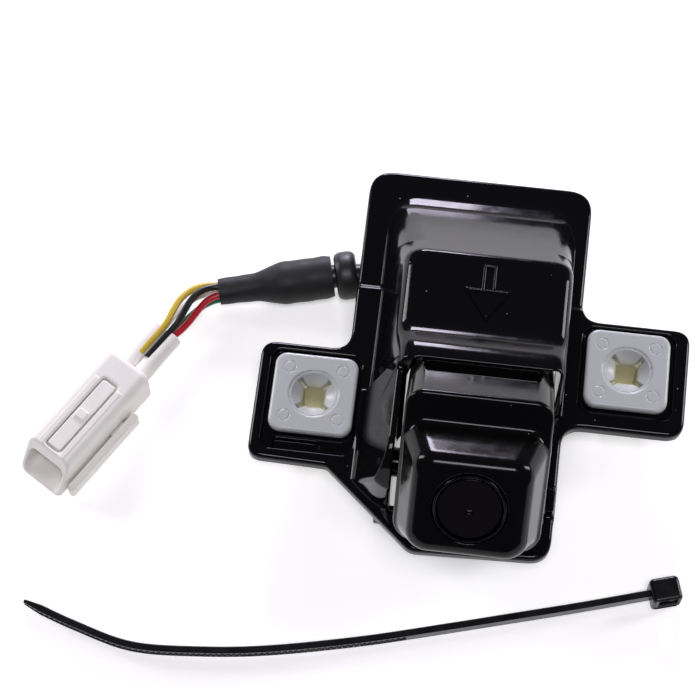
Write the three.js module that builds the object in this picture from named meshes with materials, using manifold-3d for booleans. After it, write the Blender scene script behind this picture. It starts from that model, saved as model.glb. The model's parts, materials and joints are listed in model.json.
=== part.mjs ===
// Backup camera kit: a camera module in a moulded bracket, its lead with a plug, and a cable tie.
// Millimetres. X runs to the right, Y to the back, Z up. In the bracket's own frame the ears' top
// face is Z = 0 and the front edge of the raised pad is Y = 0.
import * as THREE from 'three';
import { mergeVertices } from 'three/addons/utils/BufferGeometryUtils.js';
import Module from 'manifold-3d';

const wasm = await Module();
wasm.setup();

// ---- driving dimensions ----
const TABLE = -10.5;             // height of the surface that the kit stands on
const GAP = 0.3;                 // clearance between neighbouring pieces
const ARC_STEPS = 4;             // straight steps in each rounded corner

// Bracket flange: corners as x, y and corner radius
const FLANGE_CORNERS = [
  [-18.8, 35, 4.2], [18.8, 35, 4.2], [18.5, 10.7, 3], [36.3, 10.7, 2.6], [36.1, -8.1, 3],
  [16.8, -8.1, 3.5], [16.6, -31, 3.6], [-5.4, -31.8, 3], [-20, -19.3, 1.6], [-32.8, -19, 2.4],
  [-32.8, 1.2, 2.6], [-18.6, 1.2, 3],
];
const FLANGE_THICK = 2.4;
const BACK_STEP = 1.2;           // the back half of the flange lies this much lower
const BACK_THICK = 2;
const STEP_LINE = 12.6;          // y where the flange steps down

// Shroud, seen from the side as y, z. The hood on it is parallel to the lens axis.
const PAD_HEIGHT = 14;
const SHROUD_SIDE = [[28.8, -BACK_STEP], [13.6, PAD_HEIGHT], [0, PAD_HEIGHT], [-4.7, 18.7],
  [-7.05, 19.55], [-8, 18.6], [-14.4, 0], [-14.4, -1], [28.8, -2]];
const HOLLOW_SIDE = [[28.2, -4], [28.2, -2.7], [13, 12.5], [-1.87, 12.5], [-12, 22.63], [-40, 22.63],
  [-40, -4]];
// Shroud, seen from the front as x, z
const SHROUD_FRONT = [[-16.3, -2], [-10.9, 13.3], [-9.1, 20], [15.5, 20], [16.4, -2]];
const HOLLOW_FRONT = [[-14.9, -5], [-8.6, 13.3], [-8.6, 24], [14.9, 24], [15, -5]];
const HOOD_RIGHT_FRONT = -7;     // y where the right side wall of the hood ends

// Opening for the camera and the cradle under it
const OPENING = { left: -10.4, right: 15, front: -25.5, back: 1 };
const CHEEK_WALL = 1.4;
const CHEEK_FRONT = -24.5;
const CRADLE_BAR_TOP = -4.6;

// Wall that runs forward from the shroud, close beside the camera: seen as y, z and as x, z
const WING_SIDE = [[-13, -1], [-7.6, 15.4], [-19.5, 15.3], [-22.5, 11], [-22.5, -1]];
const WING_FRONT = [[-15.9, -1], [-10.1, 15.4], [-9.2, 15.4], [-9.2, -1]];

// Ear pockets: centre x, centre y, width, depth
const POCKET_DEPTH = 1;
const POCKETS = [
  { x: -23.6, y: -8.7, wide: 14.6, long: 17 },
  { x: 26.45, y: 2.15, wide: 14.9, long: 14.9 },
];
const GROOVE = { x: -25.3, y: -16, wide: 7.4, long: 1.6, floor: -1.9 };

// Screw grommets
const GROMMETS = { left_screw_grommet: [-23.4, -7.65], right_screw_grommet: [26.35, 2.27] };
const GROMMET_FLANGE = 13.5;
const GROMMET_BODY = 8.2;
const GROMMET_TIP = 5;
const GROMMET_HOLE = 3.4;

// Camera module: placed at the middle of its face, its lens axis 45 degrees up and forward
const CAMERA_PLACE = [3, -31.1, 20.3];
const CAMERA_TILT = Math.PI / 4;
const BODY = { half: 11.2, low: -9.85, high: 14.55, radius: 2.4 };
const SHELL_WALL = 1.4;
const SHOULDER = -8;             // z of the step between the nose and the body
const SPLIT = -20.2;             // z of the joint between the two shells
const SEAL_THICK = 0.6;
const REAR = -31.5;              // z of the rear face
const FACE_WALL = 2.6;
const RING_RADIUS = 5.5;
const WINDOW_RADIUS = 4.8;
const CABLE_AXIS_Y = 2.35;       // height of the cable's exit in the camera's own frame
const SHELL_SCREWS = [[-8.2, -6.6], [8.2, -6.6], [8.2, 11.3], [-8.2, 11.3]];
const SIDE_SCREW = { y: -7, z: -29, hole: 1.2, shank: 0.9, head: 1.7 };
const GLAND_END = -39;

// Lead
const CABLE_RADIUS = 1.95;
const CABLE_ROUTE = [[3, -1.65, -5.82], [2.95, 0.4, -7.35], [2.6, 2.6, -8.2], [1.9, 5, -8.5],
  [0.5, 7.7, -8.5], [-1.7, 10.5, -8.5], [-4.8, 13.2, -8.4], [-8.6, 15.3, -8], [-12.6, 16.7, -7.3],
  [-16.6, 17.4, -6.7], [-19, 17.4, -6.5], [-21, 17.1, -6.35], [-22.9, 16.7, -6.3]];
const BEAD = { place: [-21, 17.1, -6.35], radius: 4.05, bore: 2.3, length: 3.6 };
const SLEEVE_START = [-23.3, 16.63, -6.3];
const SLEEVE_END = [-41.9, 12.1, -7.5];
// Sleeve: distance along it and radius
const SLEEVE_PROFILE = [[0, 3.3], [0.5, 3.65], [8.6, 3.65], [10.2, 3.2], [11.6, 2.7], [13.2, 2.4],
  [18.8, 2.25]];
const WIRE_RADIUS = 0.575;
const WIRE_NAMES = ['wire_yellow', 'wire_black', 'wire_red', 'wire_green', 'wire_white'];
const WIRE_COLOURS = [0xc9b04a, 0x17171a, 0xb5182b, 0x0f6b52, 0xe4e2de];
const BUNDLE_ROUTE = [[-42.4, 11.98, -7.53], [-43.6, 11.62, -7.55], [-45.2, 10.6, -7.5],
  [-46.6, 8.8, -7.35], [-47.6, 6.8, -7.15], [-48.49, 5, -7], [-49.12, 3.98, -6.92]];
const BUNDLE_RADIUS = [1.28, 1.85];        // at the ends and in the middle
const BUNDLE_TWIST = -0.87;                // radians from end to end
const WIRE_STEPS = 10;

// Connector, placed at the middle of its rear edge and turned about Z; its own +x is the mating end
const CONNECTOR = {
  place: [-54.1, -4.2, TABLE],
  turn: Math.PI + 1.021,
  length: 23.6,
  width: 8.6,
  height: 8,
};
const TOP_LENGTH = 20.4;
const MOUTH = { half: 3.55, low: 1.1, high: 6.1, back: 12 };
const CHANNEL = { back: 4.6, front: 19.2, half: 1.6, floor: 6.9 };
const NECK = { length: 9.1, lobe: 1.6, spread: 1.45, height: 3.6 };

// Cable tie lying on its edge; route of the strap's middle in plan
const STRAP_ROUTE = [[33.4, -32], [22.5, -35.3], [12, -38.3], [1.75, -41.2], [-11.5, -44.8],
  [-25.7, -47.9], [-36.4, -49.3], [-47.2, -49.7], [-56.6, -47.4], [-65.2, -44.5]];
const STRAP = { thick: 1.1, wide: 2.5 };
const TIE_HEAD = { x: 35.6, y: -31.4, turn: 0.285, long: 4.8, deep: 4.2, tall: 4.6 };
const TIE_SLOT = { long: 3, tall: 2.9 };
const TIE_TILT = -0.0105;

// ---- materials ----
const FINISH = {
  glossBlack: { color: 0x0b0b0e, roughness: 0.12, metalness: 0 },
  softBlack: { color: 0x141414, roughness: 0.6, metalness: 0 },
  foam: { color: 0x3a3d33, roughness: 0.95, metalness: 0 },
  nylon: { color: 0xc9d0d6, roughness: 0.4, metalness: 0 },
  whitePlastic: { color: 0xe6e3e0, roughness: 0.35, metalness: 0 },
  tieBlack: { color: 0x101012, roughness: 0.45, metalness: 0 },
  board: { color: 0x1d5a35, roughness: 0.55, metalness: 0 },
  chip: { color: 0x20242c, roughness: 0.3, metalness: 0 },
  glass: { color: 0x05060a, roughness: 0.03, metalness: 0 },
  steel: { color: 0xa8abb0, roughness: 0.35, metalness: 1 },
  brass: { color: 0xc6a25a, roughness: 0.3, metalness: 1 },
};
const material = {};
for (const [name, look] of Object.entries(FINISH)) {
  material[name] = new THREE.MeshStandardMaterial(look);
}

// ---- solids ----
function solid(geometry) {
  const bare = geometry.clone();
  bare.deleteAttribute('normal');
  bare.deleteAttribute('uv');
  const welded = mergeVertices(bare, 1e-4);
  const vertProperties = Float32Array.from(welded.attributes.position.array);
  const triVerts = Uint32Array.from(welded.index.array);
  return new wasm.Manifold(new wasm.Mesh({ numProp: 3, vertProperties, triVerts }));
}

function geometryOf(body) {
  const { vertProperties, triVerts } = body.getMesh();
  const geometry = new THREE.BufferGeometry();
  geometry.setAttribute('position', new THREE.BufferAttribute(vertProperties, 3));
  geometry.setIndex(new THREE.BufferAttribute(triVerts, 1));
  geometry.computeVertexNormals();
  return geometry;
}

function join(...bodies) {
  return bodies.reduce((whole, body) => whole.add(body));
}

function cut(body, ...tools) {
  return tools.reduce((rest, tool) => rest.subtract(tool), body);
}

// Outline through corners given as x, y and an optional corner radius
function outline(corners) {
  const shape = new THREE.Shape();
  corners.forEach(([x, y, radius = 0], i) => {
    const corner = new THREE.Vector2(x, y);
    const before = corners[(i + corners.length - 1) % corners.length];
    const after = corners[(i + 1) % corners.length];
    const back = new THREE.Vector2(before[0] - x, before[1] - y).normalize();
    const ahead = new THREE.Vector2(after[0] - x, after[1] - y).normalize();
    const run = radius / Math.tan(Math.acos(back.dot(ahead)) / 2);
    const start = corner.clone().addScaledVector(back, run);
    const end = corner.clone().addScaledVector(ahead, run);
    if (i === 0) {
      shape.moveTo(start.x, start.y);
    } else {
      shape.lineTo(start.x, start.y);
    }
    if (radius > 0) {
      shape.quadraticCurveTo(x, y, end.x, end.y);
    }
  });
  shape.closePath();
  return shape;
}

function roundedRectangle(left, right, low, high, radius) {
  return outline([[left, low, radius], [right, low, radius], [right, high, radius], [left, high, radius]]);
}

function extruded(shape, depth, curveSegments = ARC_STEPS) {
  return new THREE.ExtrudeGeometry(shape, { depth, bevelEnabled: false, curveSegments });
}

// Prism from an outline, standing on z = from and reaching z = to
function prism(shape, from, to, steps = ARC_STEPS) {
  return solid(extruded(shape, to - from, steps).translate(0, 0, from));
}

// Prism whose outline is given as y, z and that runs along x
function alongX(shape, from, to) {
  const turn = new THREE.Matrix4().makeBasis(
    new THREE.Vector3(0, 1, 0), new THREE.Vector3(0, 0, 1), new THREE.Vector3(1, 0, 0));
  return solid(extruded(shape, to - from).translate(0, 0, from).applyMatrix4(turn));
}

// Prism whose outline is given as x, z and that runs along y
function alongY(shape, from, to) {
  const turn = new THREE.Matrix4().makeBasis(
    new THREE.Vector3(1, 0, 0), new THREE.Vector3(0, 0, 1), new THREE.Vector3(0, -1, 0));
  return solid(extruded(shape, to - from).translate(0, 0, -to).applyMatrix4(turn));
}

function box(x0, x1, y0, y1, z0, z1) {
  const geometry = new THREE.BoxGeometry(x1 - x0, y1 - y0, z1 - z0);
  return solid(geometry.translate((x0 + x1) / 2, (y0 + y1) / 2, (z0 + z1) / 2));
}

// Upright block about x, y from z = from to z = to
function block(x, y, wide, long, from, to) {
  return box(x - wide / 2, x + wide / 2, y - long / 2, y + long / 2, from, to);
}

// Upright cylinder from z = from to z = to
function rod(x, y, radius, from, to, sides = 20) {
  const geometry = new THREE.CylinderGeometry(radius, radius, to - from, sides);
  return solid(geometry.rotateX(Math.PI / 2).translate(x, y, (from + to) / 2));
}

// Cylinder along x from x = from to x = to
function rodAlongX(y, z, radius, from, to, sides = 16) {
  const geometry = new THREE.CylinderGeometry(radius, radius, to - from, sides);
  return solid(geometry.rotateZ(Math.PI / 2).translate((from + to) / 2, y, z));
}

// Turned body along z; the profile is radius, z from the axis back to the axis or closed on itself
function turned(profile, sides = 24) {
  const points = profile.map(([radius, z]) => new THREE.Vector2(radius, z));
  return solid(new THREE.LatheGeometry(points, sides).rotateX(Math.PI / 2));
}

// Body lofted through rounded rectangles, each given as z, half width, low, high and radius
function loft(sections) {
  const rings = sections.map(({ z, half, low, high, radius }) => {
    const ring = roundedRectangle(-half, half, low, high, radius).getPoints(ARC_STEPS);
    return ring.slice(0, -1).map((point) => [point.x, point.y, z]);
  });
  const count = rings[0].length;
  const faces = [];
  for (let level = 0; level + 1 < rings.length; level += 1) {
    for (let i = 0; i < count; i += 1) {
      const next = (i + 1) % count;
      const near = level * count;
      const far = near + count;
      faces.push(near + i, near + next, far + next, near + i, far + next, far + i);
    }
  }
  const last = (rings.length - 1) * count;
  for (let i = 1; i + 1 < count; i += 1) {
    faces.push(0, i + 1, i);
    faces.push(last, last + i, last + i + 1);
  }
  const geometry = new THREE.BufferGeometry();
  geometry.setAttribute('position', new THREE.Float32BufferAttribute(rings.flat(2), 3));
  geometry.setIndex(faces);
  return solid(geometry);
}

function circle(radius, sides) {
  const shape = new THREE.Shape();
  for (let i = 0; i < sides; i += 1) {
    const angle = (2 * Math.PI * i) / sides;
    const move = i === 0 ? 'moveTo' : 'lineTo';
    shape[move](radius * Math.cos(angle), radius * Math.sin(angle));
  }
  shape.closePath();
  return shape;
}

function tube(points, radius, steps, sides = 8) {
  const extrudePath = new THREE.CatmullRomCurve3(points.map((point) => new THREE.Vector3(...point)));
  return solid(new THREE.ExtrudeGeometry(circle(radius, sides), { steps, extrudePath }));
}

const kit = new THREE.Group();
const leadNames = [];

function add(group, name, body, finish) {
  const mesh = new THREE.Mesh(geometryOf(body), material[finish]);
  mesh.name = name;
  group.add(mesh);
  return mesh;
}

function addToLead(group, name, body, finish) {
  leadNames.push(name);
  return add(group, name, body, finish);
}

// ---- mounting bracket ----
function flange() {
  const whole = prism(outline(FLANGE_CORNERS), -BACK_STEP - BACK_THICK, 0);
  const overBack = box(-40, 40, STEP_LINE, 40, -BACK_STEP, 1);
  const underEars = box(-40, 40, -40, STEP_LINE - BACK_THICK, -5, -FLANGE_THICK);
  return cut(whole, overBack, underEars);
}

function shroud() {
  const side = alongX(outline(SHROUD_SIDE), -20, 20);
  const front = alongY(outline(SHROUD_FRONT), -20, 30);
  const rightFront = box(10, 20, -20, HOOD_RIGHT_FRONT, -3, 17);
  return cut(side.intersect(front), rightFront);
}

function hollow() {
  const side = alongX(outline(HOLLOW_SIDE), -20, 20);
  const front = alongY(outline(HOLLOW_FRONT), -14.5, 40);
  return side.intersect(front);
}

function earPockets() {
  return POCKETS.map(({ x, y, wide, long }) => {
    const shape = roundedRectangle(x - wide / 2, x + wide / 2, y - long / 2, y + long / 2, 1.6);
    return prism(shape, -POCKET_DEPTH, 1, 2);
  });
}

function cradle() {
  const { left, right } = OPENING;
  const leftCheek = box(left - CHEEK_WALL, left, CHEEK_FRONT, -2, TABLE, -1);
  const rightCheek = box(right, right + CHEEK_WALL, CHEEK_FRONT, 1, TABLE, -1);
  const bar = box(left - 0.2, right + 0.2, CHEEK_FRONT, CHEEK_FRONT + CHEEK_WALL, TABLE, CRADLE_BAR_TOP);
  return join(leftCheek, rightCheek, bar);
}

function snapArms() {
  const arm = outline([[-23.5, -2], [-19, -2], [-19, 1.2], [-20.4, 3.6], [-23.5, 1.6]]);
  const left = alongX(arm, OPENING.left - CHEEK_WALL, OPENING.left);
  const right = alongX(arm, OPENING.right, OPENING.right + CHEEK_WALL);
  return left.add(right);
}

function wing() {
  return alongX(outline(WING_SIDE), -20, 0).intersect(alongY(outline(WING_FRONT), -30, 0));
}

function sideScrewHoles() {
  const { y, z, hole, head } = SIDE_SCREW;
  const spot = new THREE.Vector3(0, y, z).applyAxisAngle(new THREE.Vector3(1, 0, 0), CAMERA_TILT);
  const holeY = CAMERA_PLACE[1] + spot.y;
  const holeZ = CAMERA_PLACE[2] + spot.z;
  const outerLeft = OPENING.left - CHEEK_WALL;
  const outerRight = OPENING.right + CHEEK_WALL;
  const through = rodAlongX(holeY, holeZ, hole, outerLeft - 1, outerRight + 1);
  const leftSink = rodAlongX(holeY, holeZ, head + GAP, outerLeft - 1, outerLeft + 0.9);
  const rightSink = rodAlongX(holeY, holeZ, head + GAP, outerRight - 0.9, outerRight + 1);
  return join(through, leftSink, rightSink);
}

function mountingBracket() {
  const { left, right, front, back } = OPENING;
  const opening = box(left, right, front, back, -4, 1);
  const side = GROMMET_BODY + 2 * GAP;
  const holes = Object.values(GROMMETS).map(([x, y]) => block(x, y, side, side, -5, 1));
  const groove = block(GROOVE.x, GROOVE.y, GROOVE.wide, GROOVE.long, GROOVE.floor, 1);
  const shell = cut(flange().add(shroud()), hollow(), opening, ...earPockets(), ...holes, groove);
  return cut(join(shell, cradle(), snapArms(), wing()), sideScrewHoles());
}

add(kit, 'mounting_bracket', mountingBracket(), 'glossBlack');

// ---- foam gasket under the back half of the flange ----
function flangeGasket() {
  const top = -BACK_STEP - BACK_THICK - GAP;
  const outer = prism(roundedRectangle(-18.4, 18.4, 15, 35.3, 3.8), top - 0.7, top);
  const inner = box(-15.6, 15.8, 10, 31.8, top - 2, top + 1);
  return cut(outer, inner);
}

add(kit, 'flange_gasket', flangeGasket(), 'foam');

// ---- screw grommets ----
function screwGrommet() {
  const seat = -POCKET_DEPTH + GAP;
  const half = GROMMET_FLANGE / 2;
  const body = GROMMET_BODY / 2;
  const tip = GROMMET_TIP / 2;
  const head = prism(roundedRectangle(-half, half, -half, half, 2), seat, seat + 1.7);
  const legs = loft([
    { z: TABLE + 0.05, half: tip, low: -tip, high: tip, radius: 0.6 },
    { z: TABLE + 2.5, half: body - 0.4, low: 0.4 - body, high: body - 0.4, radius: 0.8 },
    { z: -3, half: body, low: -body, high: body, radius: 0.8 },
    { z: seat + 0.5, half: body, low: -body, high: body, radius: 0.8 },
  ]);
  const hole = GROMMET_HOLE / 2;
  const dish = rod(0, 0, 3.9, seat + 1.4, 3);
  return cut(head.add(legs), box(-hole, hole, -hole, hole, TABLE - 1, 3), dish);
}

for (const [name, [x, y]] of Object.entries(GROMMETS)) {
  add(kit, name, screwGrommet(), 'nylon').position.set(x, y, 0);
}

// ---- camera module, in its own frame: +z along the lens axis, z = 0 at its face ----
const camera = new THREE.Group();
camera.position.set(...CAMERA_PLACE);
camera.rotation.x = CAMERA_TILT;
kit.add(camera);

function bodySection(z, inset = 0) {
  const { half, low, high } = BODY;
  const radius = Math.max(BODY.radius - inset, 0.8);
  return { z, half: half - inset, low: low + inset, high: high - inset, radius };
}

function frontShell() {
  const rim = SPLIT + SEAL_THICK / 2 + GAP;
  const nose = loft([
    { z: SHOULDER - 1, half: 10.9, low: -9.85, high: 9.85, radius: 3.2 },
    { z: SHOULDER, half: 10.9, low: -9.85, high: 9.85, radius: 3.2 },
    { z: -0.9, half: 8.9, low: -8.1, high: 8, radius: 2.8 },
    { z: 0, half: 8, low: -7.2, high: 7.1, radius: 2 },
  ]);
  const body = loft([bodySection(rim), bodySection(SHOULDER - 0.6), bodySection(SHOULDER, 0.6)]);
  const cavity = loft([bodySection(rim - 1, SHELL_WALL), bodySection(SHOULDER - 1.6, SHELL_WALL)]);
  const noseCavity = loft([
    { z: SHOULDER - 3, half: 7.4, low: -6.9, high: 7, radius: 1.5 },
    { z: -FACE_WALL, half: 6.4, low: -6, high: 6, radius: 1.5 },
  ]);
  const posts = SHELL_SCREWS.map(([x, y]) => rod(x, y, 2, rim, SHOULDER - 1, 12));
  const cage = join(cut(nose.add(body), cavity, noseCavity), ...posts);
  const ringSeat = rod(0, 0, RING_RADIUS + GAP, -1.6, 1, 32);
  const lightHole = rod(0, 0, 4.4, -4, 1, 24);
  const screwRun = SHELL_SCREWS.map(([x, y]) => rod(x, y, 1.1, rim - 1, SHOULDER - 4, 10));
  return cut(cage, ringSeat, lightHole, ...screwRun);
}

function rearShell() {
  const rim = SPLIT - SEAL_THICK / 2 - GAP;
  const { y, z, hole } = SIDE_SCREW;
  const outer = loft([bodySection(REAR, 0.6), bodySection(REAR + 0.6), bodySection(rim)]);
  const cavity = loft([bodySection(REAR + 1.6, SHELL_WALL), bodySection(rim + 1, SHELL_WALL)]);
  const bossLeft = OPENING.left - CAMERA_PLACE[0] + GAP;
  const bossRight = OPENING.right - CAMERA_PLACE[0] - GAP;
  const bosses = rodAlongX(y, z, 2.4, bossLeft, bossRight);
  const shell = cut(outer.add(bosses), cavity, rodAlongX(y, z, hole, -20, 20));
  const cableHole = rod(0, CABLE_AXIS_Y, 3, REAR - 1, REAR + 3);
  const holes = SHELL_SCREWS.map(([sx, sy]) => rod(sx, sy, 1.1, REAR - 1, REAR + 3, 10));
  const sinks = SHELL_SCREWS.map(([sx, sy]) => rod(sx, sy, 2, REAR - 1, REAR + 0.9, 14));
  return cut(shell, cableHole, ...holes, ...sinks);
}

function housingSeal() {
  const from = SPLIT - SEAL_THICK / 2;
  const to = SPLIT + SEAL_THICK / 2;
  const outer = loft([bodySection(from, 0.3), bodySection(to, 0.3)]);
  return cut(outer, loft([bodySection(from - 1, SHELL_WALL), bodySection(to + 1, SHELL_WALL)]));
}

add(camera, 'camera_front_shell', frontShell(), 'glossBlack');
add(camera, 'camera_rear_shell', rearShell(), 'glossBlack');
add(camera, 'housing_seal', housingSeal(), 'softBlack');

const ringProfile = [[5.1, -1.3], [RING_RADIUS, -1.3], [RING_RADIUS, 0.05], [5.35, 0.15], [5.1, 0.1],
  [5.1, -1.3]];
add(camera, 'lens_ring', turned(ringProfile, 32), 'steel');
const windowProfile = [[0, -1.3], [WINDOW_RADIUS, -1.3], [WINDOW_RADIUS, -0.1], [0, -0.1]];
add(camera, 'lens_window', turned(windowProfile, 32), 'glass');
const barrelProfile = [[1.8, -9], [3.4, -9], [3.4, -6], [3.9, -5.8], [3.9, -3], [1.8, -3], [1.8, -9]];
add(camera, 'lens_barrel', turned(barrelProfile), 'softBlack');
const frontElement = [[0, -4.5], [1.5, -4.5], [1.5, -3.9], [1.1, -3.5], [0.6, -3.3], [0, -3.2]];
add(camera, 'front_lens_element', turned(frontElement, 16), 'glass');
const rearElement = [[0, -8], [1.5, -8], [1.5, -7], [0, -7]];
add(camera, 'rear_lens_element', turned(rearElement, 16), 'glass');

const holderBody = box(-4.5, 4.5, -4.2, 4.5, -12.7, -9.3);
const holderHollow = box(-3.6, 3.6, -3.4, 3.6, -14, -11.2);
add(camera, 'lens_holder', cut(holderBody, holderHollow, rod(0, 0, 1.8, -13, -8)), 'softBlack');
add(camera, 'image_sensor', box(-3, 3, -2.5, 2.5, -12.7, -11.8), 'chip');
add(camera, 'sensor_board', box(-9.3, 9.3, -4.2, 8.9, -14, -13), 'board');
add(camera, 'power_board', box(-9.3, 9.3, -4.2, 8.9, -24, -23), 'board');
add(camera, 'board_connector', box(-4, 4, 0.2, 4.5, -26.6, -24.3), 'whitePlastic');

function countersunkScrew(head, shank, length) {
  const profile = [[0, 0], [head, 0], [head, 0.3], [shank, 0.7], [shank, length - 0.6], [0.3, length],
    [0, length]];
  const cross = box(-0.9, 0.9, -0.2, 0.2, -1, 0.5).add(box(-0.2, 0.2, -0.9, 0.9, -1, 0.5));
  return cut(turned(profile, 14), cross);
}

SHELL_SCREWS.forEach(([x, y], i) => {
  const screw = add(camera, `shell_screw_${i + 1}`, countersunkScrew(1.65, 0.8, 18), 'steel');
  screw.position.set(x, y, REAR + 0.05);
});

const sideScrewX = {
  left: OPENING.left - CHEEK_WALL - CAMERA_PLACE[0],
  right: OPENING.right + CHEEK_WALL - CAMERA_PLACE[0],
};
for (const [side, x] of Object.entries(sideScrewX)) {
  const body = countersunkScrew(SIDE_SCREW.head, SIDE_SCREW.shank, Math.abs(x) - 9.8);
  const screw = add(camera, `bracket_screw_${side}`, body, 'steel');
  screw.position.set(x, SIDE_SCREW.y, SIDE_SCREW.z);
  screw.rotation.y = side === 'left' ? Math.PI / 2 : -Math.PI / 2;
}

// ---- lead: gland, cable, bead, sleeve and wires ----
const glandProfile = [[0, GLAND_END], [2.4, GLAND_END], [3.1, REAR - 1.3], [4, REAR - 1.3],
  [4, REAR - GAP], [2.7, REAR - GAP], [2.7, REAR + 1.9], [3.6, REAR + 1.9], [3.6, REAR + 2.9], [0, REAR + 2.9]];
const gland = add(camera, 'cable_gland', turned(glandProfile, 20), 'softBlack');
gland.position.y = CABLE_AXIS_Y;

addToLead(kit, 'camera_cable', tube(CABLE_ROUTE, CABLE_RADIUS, 22), 'softBlack');

// Turns a mesh so that its own z runs along a direction
function aim(mesh, place, direction) {
  mesh.position.set(...place);
  mesh.quaternion.setFromUnitVectors(new THREE.Vector3(0, 0, 1), direction.clone().normalize());
}

const sleeveLine = new THREE.Vector3(...SLEEVE_END).sub(new THREE.Vector3(...SLEEVE_START));
const beadHalf = BEAD.length / 2;
const beadProfile = [[BEAD.bore, -beadHalf], [BEAD.radius - 0.7, -beadHalf],
  [BEAD.radius, -beadHalf + 0.8], [BEAD.radius, beadHalf - 0.8], [BEAD.radius - 0.7, beadHalf],
  [BEAD.bore, beadHalf], [BEAD.bore, -beadHalf]];
const bead = addToLead(kit, 'cable_bead', turned(beadProfile, 24), 'softBlack');
aim(bead, BEAD.place, sleeveLine);

const sleeveLength = sleeveLine.length();
const sleeveWall = SLEEVE_PROFILE.map(([along, radius]) => [radius, along]);
const sleeveProfile = [[0, 0], ...sleeveWall, [1.9, sleeveLength], [0, sleeveLength]];
const sleeve = addToLead(kit, 'heatshrink_sleeve', turned(sleeveProfile, 16), 'softBlack');
aim(sleeve, SLEEVE_START, sleeveLine);

// The five wires stand in a ring about the bundle's middle and twist round it together
function wireRoute(index) {
  const middle = new THREE.CatmullRomCurve3(BUNDLE_ROUTE.map((point) => new THREE.Vector3(...point)));
  const points = [];
  for (let step = 0; step <= WIRE_STEPS; step += 1) {
    const along = step / WIRE_STEPS;
    const ahead = middle.getTangentAt(along);
    const across = new THREE.Vector3(0, 0, 1).cross(ahead).normalize();
    const up = ahead.clone().cross(across);
    const radius = THREE.MathUtils.lerp(...BUNDLE_RADIUS, Math.sin(Math.PI * along));
    const angle = Math.PI - (2 * Math.PI * index) / WIRE_NAMES.length + BUNDLE_TWIST * along;
    const point = middle.getPointAt(along);
    point.addScaledVector(across, radius * Math.cos(angle));
    point.addScaledVector(up, radius * Math.sin(angle));
    points.push(point.toArray());
  }
  return points;
}

WIRE_NAMES.forEach((name, i) => {
  material[name] = new THREE.MeshStandardMaterial({ color: WIRE_COLOURS[i], roughness: 0.4, metalness: 0 });
  addToLead(kit, name, tube(wireRoute(i), WIRE_RADIUS, 14), name);
});

// ---- connector, in its own frame: +x to the mating end, z = 0 on the table ----
const connector = new THREE.Group();
connector.position.set(...CONNECTOR.place);
connector.rotation.z = CONNECTOR.turn;
kit.add(connector);

function connectorHousing() {
  const { length, width, height } = CONNECTOR;
  const half = width / 2;
  const section = roundedRectangle(-half, half, 0, height, 1.3);
  const body = alongX(section, 0, length);
  const slant = outline([[TOP_LENGTH, height + 1], [length + 1, height + 1], [length + 1, 1.2],
    [length, 1.2], [TOP_LENGTH, height - 1.2]]);
  const mouthShape = outline([[-MOUTH.half, MOUTH.low, 0.7], [MOUTH.half, MOUTH.low, 0.7],
    [MOUTH.half, MOUTH.high, 1.3], [-MOUTH.half, MOUTH.high, 1.3]]);
  const mouth = alongX(mouthShape, MOUTH.back, length + 1);
  const channel = box(CHANNEL.back, CHANNEL.front, -CHANNEL.half, CHANNEL.half, CHANNEL.floor, height + 1);
  const retainerSlot = box(7.2, 10.8, 2.6, half + 1, 1.3, 2.9);
  const pinHoles = terminalRow().map((y) => rodAlongX(y, 3.6, 0.7, 11, 13, 8));
  return cut(body, alongY(slant, -9, 9), mouth, channel, retainerSlot, ...pinHoles);
}

function terminalRow() {
  return [-2, -1, 0, 1, 2].map((place) => place * 1.15);
}

addToLead(connector, 'connector_housing', connectorHousing(), 'whitePlastic');

const latchBeam = box(5, CHANNEL.front - GAP, -1.3, 1.3, 7.45, 8);
const latchBump = box(11.2, 13.4, -0.8, 0.8, 7.8, 8.3);
addToLead(connector, 'connector_latch', latchBeam.add(latchBump), 'whitePlastic');

const railShape = roundedRectangle(5.2, 22, CONNECTOR.width / 2 + GAP, CONNECTOR.width / 2 + 1.7, 0.6);
const railTongue = box(7.5, 10.5, 2.9, CONNECTOR.width / 2 + 1, 1.6, 2.6);
addToLead(connector, 'terminal_retainer', prism(railShape, 0.5, 3.3, 2).add(railTongue), 'whitePlastic');

terminalRow().forEach((y, i) => {
  const pin = box(11.3, 16.2, y - 0.3, y + 0.3, 3.3, 3.9);
  addToLead(connector, `terminal_${i + 1}`, pin, 'brass');
});

function connectorNeck() {
  const { length, lobe, spread, height } = NECK;
  return join(...[-spread, spread].map((y) => rodAlongX(y, height, lobe, -length, -GAP, 14)));
}

addToLead(connector, 'connector_neck', connectorNeck(), 'whitePlastic');

// ---- cable tie, lying on its edge ----
const tie = new THREE.Group();
tie.rotation.y = TIE_TILT;
kit.add(tie);
const [tipX] = STRAP_ROUTE[STRAP_ROUTE.length - 1];
tie.position.z = TABLE + tipX * Math.sin(TIE_TILT);

function strap() {
  const route = new THREE.CatmullRomCurve3(STRAP_ROUTE.map(([x, y]) => new THREE.Vector3(x, y, 0)));
  const steps = 36;
  const sides = [[], []];
  for (let step = 0; step <= steps; step += 1) {
    const point = route.getPointAt(step / steps);
    const ahead = route.getTangentAt(step / steps);
    const toTip = (1 - step / steps) * steps;
    const half = (STRAP.thick / 2) * (toTip < 1 ? 0.55 : 1);
    sides[0].push([point.x - ahead.y * half, point.y + ahead.x * half]);
    sides[1].unshift([point.x + ahead.y * half, point.y - ahead.x * half]);
  }
  return prism(outline(sides.flat()), 0, STRAP.wide);
}

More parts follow.
